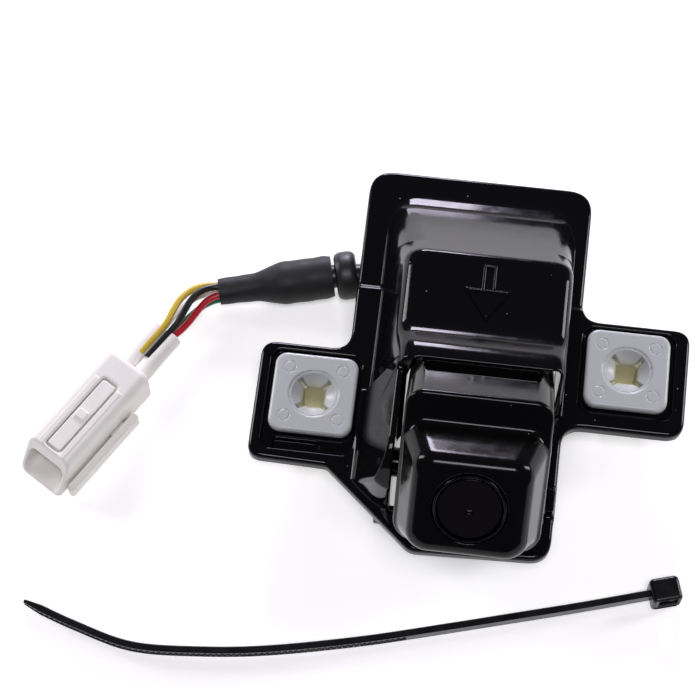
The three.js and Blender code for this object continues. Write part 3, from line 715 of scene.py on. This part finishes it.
def shroud(x, y, z):
    front_blend = np.clip((1.5 - y) / 5, 0, 1)
    back_blend = np.clip((y - 11) / 6, 0, 1)
    corner = PAD_CORNER + (HOOD_CORNER - PAD_CORNER) * front_blend + 2.0 * back_blend
    foot, brow, lip, under_lip = HOOD_LINE
    hood = meet(leaning(y, z, foot, brow), leaning(y, z, brow, lip), 0.5)
    top = fuse(z - PAD_HEIGHT, hood, 0.9)
    left = meet(leaning(x, z, *LEFT_WALL), leaning(x, z, (-9.1, 20), (-10.9, 13.3)), 0.5)
    sides = both(left, leaning(x, z, (16.4, -2), (15.5, 20)))
    back = leaning(y, z, SLOPE_LINE[0], SLOPE_LINE[1])
    for first, second in zip(SLOPE_LINE[1:], SLOPE_LINE[2:]):
        back = fuse(back, leaning(y, z, first, second), COVE)
    body = meet(meet(top, back, 0.5), sides, corner)
    front = both(leaning(y, z, lip, under_lip), leaning(y, z, under_lip, (-14.4, 0)))
    body = both(meet(body, front, 0.5), -2 - z)
    return carve(body, both(10 - x, y + 7, z - 17), 0.5)


def hollow(x, y, z):
    top = fuse(z - 12.5, (y + z - 10.63) * HALF_ROOT, 0.6)
    top = meet(top, (y + z - 25.5) * HALF_ROOT, 1)
    left = both(leaning(x, z, (-8.6, 13.3), (-14.9, -5)), -8.6 - x)
    room = meet(top, both(left, x - 14.9), 1)
    return both(room, both(-14.5 - y, z - 22.6))


def cradle(x, y, z):
    left = both(slab(x, -11.8, -10.4), slab(y, -24.5, -2), slab(z, TABLE, -1))
    right = both(slab(x, 15, 16.4), slab(y, -24.5, 1), slab(z, TABLE, -1))
    bar = both(slab(x, -10.6, 15.2), slab(y, -24.5, -23.1), slab(z, TABLE, -4.6))
    heel, peak, toe = (-19, 1.2), (-20.4, 3.6), (-23.5, 1.6)
    arm = both(leaning(y, z, heel, peak), leaning(y, z, peak, toe))
    arm = meet(arm, both(slab(y, -23.5, -19), -2 - z), 0.4)
    arms = both(arm, np.minimum(slab(x, -11.8, -10.4), slab(x, 15, 16.4)))
    return fuse(np.minimum(left, right), np.minimum(bar, arms), 0.5)


def wing(x, y, z):
    """The wall that runs forward from the shroud, close beside the camera."""
    back_end, bend, front_end = (-6, 15.4), (-22, 15.3), (-25.6, 9)
    top = meet(leaning(y, z, back_end, bend), leaning(y, z, bend, front_end), 3)
    outer = leaning(x, z, *LEFT_WALL)
    front = meet(-25.4 - y, flange_outline(x, y) + 1.2, 1.5)
    wall = meet(meet(top, outer, 0.3), meet(x + 9.2, front, 0.8), 0.4)
    return both(wall, both(y + 6, -1 - z))


def bracket_distance(p):
    x, y, z = np.moveaxis(p, -1, 0)
    body = fuse(flange(x, y, z), shroud(x, y, z), 0.3)
    body = carve(body, hollow(x, y, z), 0.5)
    body = carve(body, both(plate(x, y, (-10.4, -25.5), (15, 1), 0.8), slab(z, -4, 1)), 0.5)
    for low, high in POCKETS:
        body = carve(body, both(plate(x, y, low, high, 1.6), -1 - z), 0.5)
    for middle_x, middle_y in GROMMETS.values():
        hole = plate(x, y, (middle_x - 4.4, middle_y - 4.4), (middle_x + 4.4, middle_y + 4.4), 0.5)
        body = carve(body, hole, 0.3)
    groove = both(plate(x, y, (-29, -16.8), (-21.6, -15.2), 0.6), -1.9 - z)
    body = carve(body, groove, 0.3)
    body = fuse(body, np.minimum(cradle(x, y, z), wing(x, y, z)), 0.6)
    from_screw = np.hypot(y - SIDE_SCREW[0], z - SIDE_SCREW[1])
    sink = both(from_screw - 2, np.minimum(x + 10.9, 15.5 - x))
    return both(body, 1.2 - from_screw, -sink)


mould(
    "bracket_moulding", bracket_distance, bracket, (-33, -32, TABLE), (36.5, 35, 20), 0.34,
    node="mounting_bracket",
)

# %% [markdown]
# ## Mark on the pad
# Bracket moulds often raise a mark that shows which way the part faces. Here it is a plain arrow,
# raised by 0.2 mm, as tall as the pad allows.

# %% Direction mark
def arrow_distance(p):
    x, y, z = np.moveaxis(p, -1, 0)
    x, y, z = x - 2.6, y - 7.2, z - PAD_HEIGHT
    tip, right, left = (0, -5), (3.8, 0.6), (-3.8, 0.6)
    head = both(leaning(x, y, tip, right), leaning(x, y, left, tip), y - 0.6)
    shaft = plate(x, y, (-1.1, 0), (1.1, 4.8), 0.2)
    outline = fuse(head, shaft, 0.2)
    ring = both(outline, -(outline + 0.5))
    return meet(ring, slab(z, -0.25, 0.25), 0.3)


mould(
    "direction_mark", arrow_distance, bracket, (-1.6, 1.8, 13.7), (6.8, 12.4, 14.3), 0.11,
    slot="gloss_black_abs",
)

# %% [markdown]
# ## Foam gasket
# A strip of closed-cell foam seals the back half of the flange. A light ripple on its sides keeps
# it from looking machined.

# %% Gasket
def gasket_distance(p):
    x, y, z = np.moveaxis(p, -1, 0)
    ripple = 0.05 * (np.sin(2.1 * x + 1.3 * y) + np.sin(1.7 * y - 2.6 * x))
    outer = plate(x, y, (-18.4, 15), (18.4, 35.3), 3.8)
    ring = both(outer, -both(slab(x, -15.6, 15.8), y - 31.8)) + 0.05 + ripple
    return meet(ring, slab(z, -4.2, -3.5), 0.3)


mould(
    "foam_gasket", gasket_distance, bracket, (-18.6, 14.8, -4.2), (18.6, 35.4, -3.5), 0.3,
    node="flange_gasket",
)

# %% [markdown]
# ## Screw grommets
# Each ear holds a nylon grommet that a screw spreads from inside: a square head with a shallow
# dish, a square hole whose corners are slit, and four round marks where ejector pins pushed it out.

# %% Grommets
HEAD_LOW, HEAD_HIGH = -0.7, 1.0


def grommet_distance(p):
    x, y, z = np.moveaxis(p, -1, 0)
    half = 6.75
    head = meet(plate(x, y, (-half, -half), (half, half), 2), slab(z, HEAD_LOW, HEAD_HIGH), 0.7)
    width = np.interp(z, [TABLE, -8, -3], [2.5, 3.7, 4.1])
    legs = both(plate(x, y, (-1, -1), (1, 1), 0.5) + 1 - width, slab(z, TABLE + 0.05, 0))
    body = fuse(head, legs, 0.5)
    out = np.hypot(x, y)
    dish = both(out - 3.9, (HEAD_HIGH - 0.15 - z) - 0.85 * np.maximum(3.6 - out, 0) ** 0.8)
    body = carve(body, dish, 0.45)
    body = carve(body, plate(x, y, (-1.7, -1.7), (1.7, 1.7), 0.3), 0.5)
    across = np.minimum(np.abs(x - y), np.abs(x + y)) * HALF_ROOT
    slit = both(across - 0.22 - 0.06 * out, out - 3.45, -1.2 - z)
    body = carve(body, slit, 0.3)
    mark = np.hypot(np.abs(x) - 4.35, np.abs(y) - 4.2)
    groove = both(np.abs(mark - 0.95) - 0.1, HEAD_HIGH - 0.04 - z)
    return carve(body, groove, 0.1)


for name, (x, y) in GROMMETS.items():
    mould(
        "nylon_" + name.split("_")[0] + "_grommet", grommet_distance, Place((x, y, 0), *np.eye(3)),
        (-6.8, -6.8, TABLE), (6.8, 6.8, 1), 0.2, node=name,
    )

# %% [markdown]
# ## Camera shells
# The housing is two cups joined behind the hood. The front one narrows to a flat face with softly
# rounded edges and leaves a shoulder where the nose stands on the body. Both are hollow.

# %% Camera shells
BODY_LOW, BODY_HIGH, BODY_HALF = -9.85, 14.55, 11.2
SHOULDER, SPLIT, REAR = -8, -20.2, -31.5
DRAFT = 0.04
SHELL_SCREWS = [(-8.2, -6.6), (8.2, -6.6), (8.2, 11.3), (-8.2, 11.3)]


def housing_body(x, y, inset=0.0):
    low, high = (inset - BODY_HALF, BODY_LOW + inset), (BODY_HALF - inset, BODY_HIGH - inset)
    return plate(x, y, low, high, max(3.0 - inset, 1))


def front_shell_distance(p):
    x, y, z = np.moveaxis(p, -1, 0)
    half = np.interp(z, [SHOULDER, 0], [10.9, 8.65])
    low = np.interp(z, [SHOULDER, 0], [-9.85, -7.85])
    high = np.interp(z, [SHOULDER, 0], [9.85, 7.75])
    nose = plate(x, y, (-half, low), (half, high), 3.2) * 0.97
    nose = both(meet(nose, z, 1.9), SHOULDER - 3 - z)
    draft = DRAFT * (z - SHOULDER) - 0.25
    body = meet(housing_body(x, y + draft * (y > 0)), z - SHOULDER, 0.8)
    body = both(body, SPLIT + 0.6 - z)
    shell = fuse(nose, body, 1.0)
    room = both(housing_body(x, y, 1.4), z - SHOULDER + 1.6)
    nose_room = both(plate(x, y, (-7, -6.6), (7, 6.6), 1.5), z + 2.6)
    shell = carve(shell, fuse(room, nose_room, 0.5), 0.4)
    out = np.hypot(x, y)
    seat = both(out - 5.65, -1.6 - z)
    shell = carve(shell, seat, 0.25)
    return both(shell, 4.4 - out)


def rear_shell_distance(p):
    x, y, z = np.moveaxis(p, -1, 0)
    shell = meet(housing_body(x, y), REAR - z, 0.9)
    boss = both(np.hypot(y + 7, z + 29) - 2.4, slab(x, -13.1, 11.7))
    shell = fuse(both(shell, z - SPLIT + 0.6), boss, 0.4)
    shell = carve(shell, both(housing_body(x, y, 1.4), REAR + 1.6 - z), 0.5)
    shell = both(shell, 3 - np.hypot(x, y - 2.35) - 100 * (z > REAR + 3))
    shell = both(shell, 1.2 - np.hypot(y + 7, z + 29))
    for screw_x, screw_y in SHELL_SCREWS:
        out = np.hypot(x - screw_x, y - screw_y)
        shell = carve(shell, both(out - 2, z - REAR - 0.9), 0.2)
        shell = both(shell, 1.1 - out - 100 * (z > REAR + 3))
    return shell


mould(
    "camera_front_housing", front_shell_distance, lens,
    (-11.3, -10, SPLIT + 0.5), (11.3, 14.7, 0), 0.26, node="camera_front_shell",
)
mould(
    "camera_rear_housing", rear_shell_distance, lens,
    (-13.2, -10, REAR), (11.8, 14.7, SPLIT - 0.5), 0.3, node="camera_rear_shell",
)


def seal_distance(p):
    x, y, z = np.moveaxis(p, -1, 0)
    ring = both(housing_body(x, y, 0.3), -housing_body(x, y, 1.4))
    return meet(ring, slab(z, SPLIT - 0.3, SPLIT + 0.3), 0.2)


mould(
    "housing_gasket", seal_distance, lens, (-11, -9.7, -20.5), (11, 14.4, -19.9), 0.24,
    node="housing_seal",
)

# %% [markdown]
# ## Turned pieces
# The ring, cover glass, gland, bead and sleeve are round about an axis. A turned piece is a profile
# of radius and height carried round that axis. Its shading normals come from the faces, with a
# sharp edge wherever the profile turns by more than 35 degrees.

# %% Turned pieces
SHARP = math.radians(35)


def tube_faces(rings, sides):
    """Faces between rings of points, each with this many sides."""
    faces = []
    for first in range(0, (rings - 1) * sides, sides):
        for j in range(sides):
            k = (j + 1) % sides
            faces.append((first + j, first + k, first + sides + k, first + sides + j))
    return faces


def turned(name, profile, place, wobble=None, sides=72, **piece):
    profile = np.array(profile, float)
    turn = np.linspace(0, 2 * math.pi, sides, endpoint=False)
    radius, height = profile[:, 0][:, None], np.repeat(profile[:, 1][:, None], sides, 1)
    radius = np.repeat(radius, sides, 1)
    if wobble is not None:
        radius = radius + wobble(radius, height, turn[None, :])
    ring = np.stack([radius * np.cos(turn), radius * np.sin(turn), height], -1).reshape(-1, 3)
    made = add_piece(name, place.world(ring), tube_faces(len(profile), sides), **piece)
    clean(made)
    return made


def clean(piece):
    """Joins the points on the axis, turns faces outwards and marks the profile's sharp edges."""
    body = bmesh.new()
    body.from_mesh(piece.data)
    bmesh.ops.remove_doubles(body, verts=body.verts, dist=1e-7)
    bmesh.ops.recalc_face_normals(body, faces=body.faces)
    for edge in body.edges:
        edge.smooth = len(edge.link_faces) == 2 and edge.calc_face_angle(0) < SHARP
    body.to_mesh(piece.data)
    body.free()


RING_PROFILE = [
    (5.1, -1.3), (5.5, -1.3), (5.5, -0.05), (5.45, 0.08), (5.35, 0.15), (5.2, 0.15), (5.1, 0.05),
    (5.1, -1.3),
]
turned("lens_bezel", RING_PROFILE, lens, sides=96, node="lens_ring")
APERTURE = 0.75
GLASS_PROFILE = [
    (0, -0.28), (0.2, -0.29), (0.45, -0.34), (APERTURE - 0.08, -0.42), (APERTURE, -0.4),
    (APERTURE + 0.06, -0.1), (4.7, -0.1), (4.8, -0.2), (4.8, -1.3), (0, -1.3),
]
turned("cover_glass", GLASS_PROFILE, lens, sides=96, node="lens_window")


def axis_place(origin, way):
    """A frame whose own height runs along a direction."""
    up = unit(way)
    across = unit(np.cross((0, 0, 1), up))
    return Place(origin, across, np.cross(up, across), up)


gland = Place(lens.kit((0, 2.35, 0)), *lens.axes)
GLAND_PROFILE = [
    (1.95, -36), (2.05, -38.9), (2.3, -39), (2.45, -38.8), (2.6, -37.4), (2.75, -37.3),
    (2.6, -37.1), (2.8, -35.6), (2.95, -35.5), (2.8, -35.3), (3.1, -32.8), (3.9, -32.8),
    (4, -32.7), (4, -31.9), (3.9, -31.8), (2.7, -31.8), (2.7, -29.6), (3.6, -29.6), (3.6, -28.6),
    (1.95, -28.6), (1.95, -36),
]
turned("rubber_gland", GLAND_PROFILE, gland, node="cable_gland")
bead = axis_place((-21, 17.1, -6.35), sleeve_way)
BEAD_PROFILE = [
    (2.3, -1.8), (3.2, -1.8), (3.65, -1.6), (3.95, -1.1), (4.05, -0.6), (4.05, 0.6), (3.95, 1.1),
    (3.65, 1.6), (3.2, 1.8), (2.3, 1.8), (2.3, -1.8),
]
rubber_bead = turned("rubber_bead", BEAD_PROFILE, bead, node="cable_bead")

# %% [markdown]
# ## Heat-shrink sleeve
# The sleeve shrank over a moulded core, so it is thick at the bead and steps down to the bundle of
# wires. Hot air leaves it slightly uneven, which a small wobble in its radius gives.

# %% Sleeve
SLEEVE_STEPS = [
    (0, 3.3), (0.5, 3.62), (8.6, 3.62), (10.2, 3.18), (11.6, 2.68), (13.2, 2.38),
    (SLEEVE_LENGTH, 2.23),
]
BORE, BORE_DEPTH = 1.93, 6.0
along = np.linspace(0, SLEEVE_LENGTH, 60)
radii = np.interp(along, *np.array(SLEEVE_STEPS).T)
radii = np.convolve(np.pad(radii, 2, "edge"), np.ones(5) / 5, "valid")
sleeve_profile = [(1.95, 0)] + list(zip(radii, along))
sleeve_profile += [(BORE, SLEEVE_LENGTH), (BORE, SLEEVE_LENGTH - BORE_DEPTH)]
sleeve_profile += [(BORE, 0.1), (1.95, 0)]


def shrink_wobble(radius, height, turn):
    outside = radius > 2.1
    waves = np.sin(3 * turn + 0.7 * height) * 0.5 + np.sin(1.9 * height + 2 * turn) * 0.5
    return outside * 0.05 * (waves - 0.4)


shrunk_sleeve = turned(
    "shrunk_sleeve", sleeve_profile, axis_place(SLEEVE_START, sleeve_way), shrink_wobble,
    node="heatshrink_sleeve",
)

# %% [markdown]
# ## Plug
# The plug's housing is a white block with soft edges. Its mating end is scooped, so the lower lip
# stands out, and a long shallow channel in the top holds the latch. A rail on one side locks the
# terminals, and two short tubes at the back take the wires.

# %% Plug
PLUG_LENGTH, PLUG_HALF, PLUG_HEIGHT = 23.6, 4.3, 8
PIN_ROW = [-2.3, -1.15, 0, 1.15, 2.3]


def plug_distance(p):
    x, y, z = np.moveaxis(p, -1, 0)
    section = plate(y, z, (-PLUG_HALF, 0), (PLUG_HALF, PLUG_HEIGHT), 1.5)
    body = meet(section, slab(x, 0, PLUG_LENGTH), 1.1)
    body = meet(body, leaning(x, z, (PLUG_LENGTH, 1.2), (20.4, 6.8)), 0.5)
    mouth = both(plate(y, z, (-3.55, 1.1), (3.55, 6.1), 1.3), 12 - x)
    body = carve(body, mouth, 0.4)
    channel = both(plate(x, y, (4.6, -1.6), (19.2, 1.6), 0.7), 6.9 - z)
    body = carve(body, channel, 0.5)
    ridge = both(np.abs(np.abs(y) - 2.25) - 0.3, slab(x, 5.5, 19.5))
    body = fuse(body, both(ridge, slab(z, 7, 8.02)), 0.4)
    body = carve(body, both(slab(x, 7.2, 10.8), 2.6 - y, slab(z, 1.3, 2.9)), 0.3)
    for pin in PIN_ROW:
        body = both(body, 0.7 - np.hypot(y - pin, z - 3.6) - 100 * ((x < 11) | (x > 13)))
    return body


mould(
    "plug_housing", plug_distance, plug, (0, -4.3, 0), (23.6, 4.3, 8.1), 0.22,
    node="connector_housing",
)


def neck_distance(p):
    x, y, z = np.moveaxis(p, -1, 0)
    radius = np.interp(x, [-9.1, -5, -0.3], [1.42, 1.5, 1.6])
    lobe = np.hypot(np.abs(y) - 1.45, z - 3.6)
    tubes = meet(lobe - radius, slab(x, -9.1, -0.3), 0.35)
    return carve(tubes, both(lobe - 1.15, x + 7.4), 0.2)


plug_neck = mould(
    "plug_neck", neck_distance, plug, (-9.1, -3.1, 2), (-0.3, 3.1, 5.2), 0.16,
    node="connector_neck",
)


def latch_distance(p):
    x, y, z = np.moveaxis(p, -1, 0)
    beam = meet(plate(x, y, (5, -1.3), (18.9, 1.3), 0.4), slab(z, 7.45, 8), 0.25)
    ramp = leaning(x, z, (13.4, 7.9), (12.6, 8.3))
    return fuse(beam, both(np.abs(y) - 0.8, slab(z, 7.7, 8.3), ramp, 11.2 - x), 0.25)


mould(
    "latch_beam", latch_distance, plug, (5, -1.3, 7.45), (18.9, 1.3, 8.3), 0.13,
    node="connector_latch", body="connector_latch",
)


def retainer_distance(p):
    x, y, z = np.moveaxis(p, -1, 0)
    rail = meet(plate(x, y, (5.2, 4.6), (22, 6), 0.65), slab(z, 0.5, 3.3), 0.4)
    tongue = both(slab(x, 7.5, 10.5), slab(y, 2.9, 5.3), slab(z, 1.6, 2.6))
    return fuse(rail, tongue, 0.3)


mould(
    "retainer_rail", retainer_distance, plug, (5.2, 2.9, 0.5), (22, 6, 3.3), 0.16,
    node="terminal_retainer", body="terminal_retainer",
)

# %% [markdown]
# ## Lead: cord lengths
# The cable carries the bead and the sleeve, and the wires end in the plug's neck. The lengths are
# those of the routes, so nothing is coiled or put away.

lengths = [
    declare_cord(
        cable_route
    )
]
for i, wire in enumerate(wires):
    lengths.append(
        declare_cord(wire_route(i))
    )
print("cable and wires in mm:", np.round(lengths, 1))

# %% [markdown]
# ## Cable tie
# The strap lies on its edge in a gentle curve. Its section is carried along that curve in short
# steps. On one face a sunk track holds the teeth, which the pawl in the head would catch, and
# towards the tip the strap tapers so that it can be threaded.

# %% Strap
STRAP_ROUTE = [
    (33.4, -32), (22.5, -35.3), (12, -38.3), (1.75, -41.2), (-11.5, -44.8), (-25.7, -47.9),
    (-36.4, -49.3), (-47.2, -49.7), (-56.6, -47.4), (-65.2, -44.5),
]
STRAP_THICK, STRAP_WIDE = 1.1, 2.5
TOOTH_PITCH, TOOTH_DEPTH = 0.9, 0.28
TOOTHED = 62
TIE_SLOPE = -0.0105
HEAD_AT, HEAD_TURN = (35.6, -31.4), 0.285
table_at_tip = TABLE + STRAP_ROUTE[-1][0] * math.sin(TIE_SLOPE)
tie = Place(
    (0, 0, table_at_tip), (math.cos(TIE_SLOPE), 0, -math.sin(TIE_SLOPE)), (0, 1, 0),
    (math.sin(TIE_SLOPE), 0, math.cos(TIE_SLOPE)),
)


def strap_section(to_tip):
    """Points round the section, as offsets across the strap and heights, this far from the tip."""
    taper = np.clip(0.5 + to_tip / 6, 0, 1)
    half, edge = STRAP_THICK / 2 * taper, 0.16
    tooth = TOOTH_DEPTH * taper * (0.35 + 0.65 * ((to_tip / TOOTH_PITCH) % 1))
    tooth *= to_tip < TOOTHED
    shrink = 0.35 * (1 - np.clip(to_tip / 3, 0, 1))
    low, high = shrink, STRAP_WIDE - shrink
    return [
        (half - edge, low), (half, low + edge), (half, low + 0.42), (half - tooth, low + 0.5),
        (half - tooth, high - 0.5), (half, high - 0.42), (half, high - edge), (half - edge, high),
        (edge - half, high), (-half, high - edge), (-half, low + edge), (edge - half, low),
    ]


strap_line = smooth_route([(x, y, 0) for x, y in STRAP_ROUTE], 560)
strap_length = np.linalg.norm(np.diff(strap_line, axis=0), axis=1).sum()
ahead = np.gradient(strap_line, axis=0)
ahead /= np.linalg.norm(ahead, axis=1)[:, None]
side = np.stack([-ahead[:, 1], ahead[:, 0], 0 * ahead[:, 0]], 1)
rings = []
for i, (middle, across) in enumerate(zip(strap_line, side)):
    section = strap_section(strap_length * (1 - i / (len(strap_line) - 1)))
    rings += [middle + across * offset + np.array((0, 0, height)) for offset, height in section]
ROUND = 12
strap_faces = tube_faces(len(strap_line), ROUND)
last = (len(strap_line) - 1) * ROUND
strap_faces += [tuple(range(ROUND)), tuple(range(last + ROUND - 1, last - 1, -1))]
strap = add_piece("tie_strap", tie.world(rings), strap_faces, node="cable_tie", body="cable_tie")
clean(strap)
print("strap length mm:", round(float(strap_length), 1))

# %% [markdown]
# ## Tie head
# The head is a small rounded box with a square slot through it, and a pawl inside, drawn without
# its thin hinge.

# %% Head and pawl
head_origin = tie.kit((*HEAD_AT, 0))
turned_axes = turned_place((0, 0, 0), HEAD_TURN).axes
head_place = Place(head_origin, *(turned_axes @ tie.axes))


def head_distance(p):
    x, y, z = np.moveaxis(p, -1, 0)
    body = meet(plate(x, y, (-2.4, -2.1), (2.4, 2.1), 0.8), slab(z, -1.05, 3.55), 0.9)
    step = both(slab(x, -1.9, 1.9), slab(z, -0.6, 3.1), y + 1.75)
    body = carve(body, step, 0.3)
    slot = both(slab(x, -1.2, 1.8), slab(z, -0.2, 2.7))
    return carve(body, slot, 0.3)


mould(
    "tie_head", head_distance, head_place, (-2.4, -2.1, -1.05), (2.4, 2.1, 3.55), 0.14,
    slot="black_nylon_tie", body="cable_tie",
)


def pawl_distance(p):
    x, y, z = np.moveaxis(p, -1, 0)
    teeth = 0.12 * np.abs(((y / 0.5) % 1) - 0.5)
    face = 0.55 + 0.3 * np.clip((y + 1.5) / 3, 0, 1) + teeth
    wedge = both(face - x, x - 1.5, np.abs(y) - 1.3)
    return meet(wedge, slab(z, 0.2, 2.3), 0.15)


mould(
    "tie_pawl_wedge", pawl_distance, head_place, (0.5, -1.5, 0.2), (1.5, 1.5, 2.3), 0.1,
    node="tie_pawl", body="tie_pawl",
)

# %% [markdown]
# ## Floor and lights
# Gloss black shows only what surrounds it, so the lights are placed for their reflections. Two at
# the sides draw the pad's edges. One above and in front gives the thin line on the camera's brow.
# A wide dim one at the horizon gives the faces that lean back their grey. Straight behind and
# above stays dark, as the flat tops mirror that. The floor is a lit table: it glows a little,
# which lifts the shadows.

# %% Floor and lights
FLOOR_GLOW = 0.45


def add_floor(size=3.0):
    finish, add, surface, where = new_finish(
        "paper_matt_white", "#f7f7f6", 0.9, Emission_Color="#ffffff", Emission_Strength=FLOOR_GLOW
    )
    tooth = add("TexNoise", Vector=where, Scale=per_metre(2), Detail=3.0)
    add("Bump", into=surface["Normal"], Height=tooth, Strength=0.2, Distance=0.01 * MM)
    level = cad_box[0][2] - 0.02 * MM
    corners = [(-size, -size), (size, -size), (size, size), (-size, size)]
    mesh = bpy.data.meshes.new("floor")
    mesh.from_pydata([(x, y, level) for x, y in corners], [], [(0, 1, 2, 3)])
    mesh.materials.append(finish)
    floor = bpy.data.objects.new("floor", mesh)
    bpy.context.scene.collection.objects.link(floor)


def add_softbox(name, azimuth, elevation, distance, wide, tall, watts, colour="#ffffff"):
    """Azimuth turns from the front (0) to the right (90) and the back (180), in degrees."""
    turn, rise = math.radians(azimuth), math.radians(elevation)
    flat = math.cos(rise)
    way = Vector((math.sin(turn) * flat, -math.cos(turn) * flat, math.sin(rise)))
    data = bpy.data.lights.new(name, "AREA")
    data.shape, data.size, data.size_y, data.energy = "RECTANGLE", wide, tall, watts
    data.color = linear(colour)[:3]
    light = bpy.data.objects.new(name, data)
    bpy.context.scene.collection.objects.link(light)
    light.location = way * distance
    light.rotation_euler = way.to_track_quat("Z", "Y").to_euler()


add_floor()
add_softbox("back_box", 187.5, 18, 1.2, 0.34, 0.3, 11, "#f0eaff")
add_softbox("back_wall", 180, 4, 1.5, 1.6, 0.26, 0.9, "#fff6ea")
add_softbox("left_box", 247, 22, 1.1, 0.2, 0.5, 4.5)
add_softbox("right_box", 115, 24, 1.1, 0.2, 0.5, 4.5)
add_softbox("brow_box", 8, 74, 1.3, 0.5, 0.3, 6.5, "#fbf8ff")
world = bpy.data.worlds.new("studio")
world.use_nodes = True
world.node_tree.nodes["Background"].inputs["Color"].default_value = linear("#7d7488")
world.node_tree.nodes["Background"].inputs["Strength"].default_value = 0.35
bpy.context.scene.world = world
bpy.context.scene.view_settings.view_transform = "Standard"
print("lights:", len(bpy.data.lights))
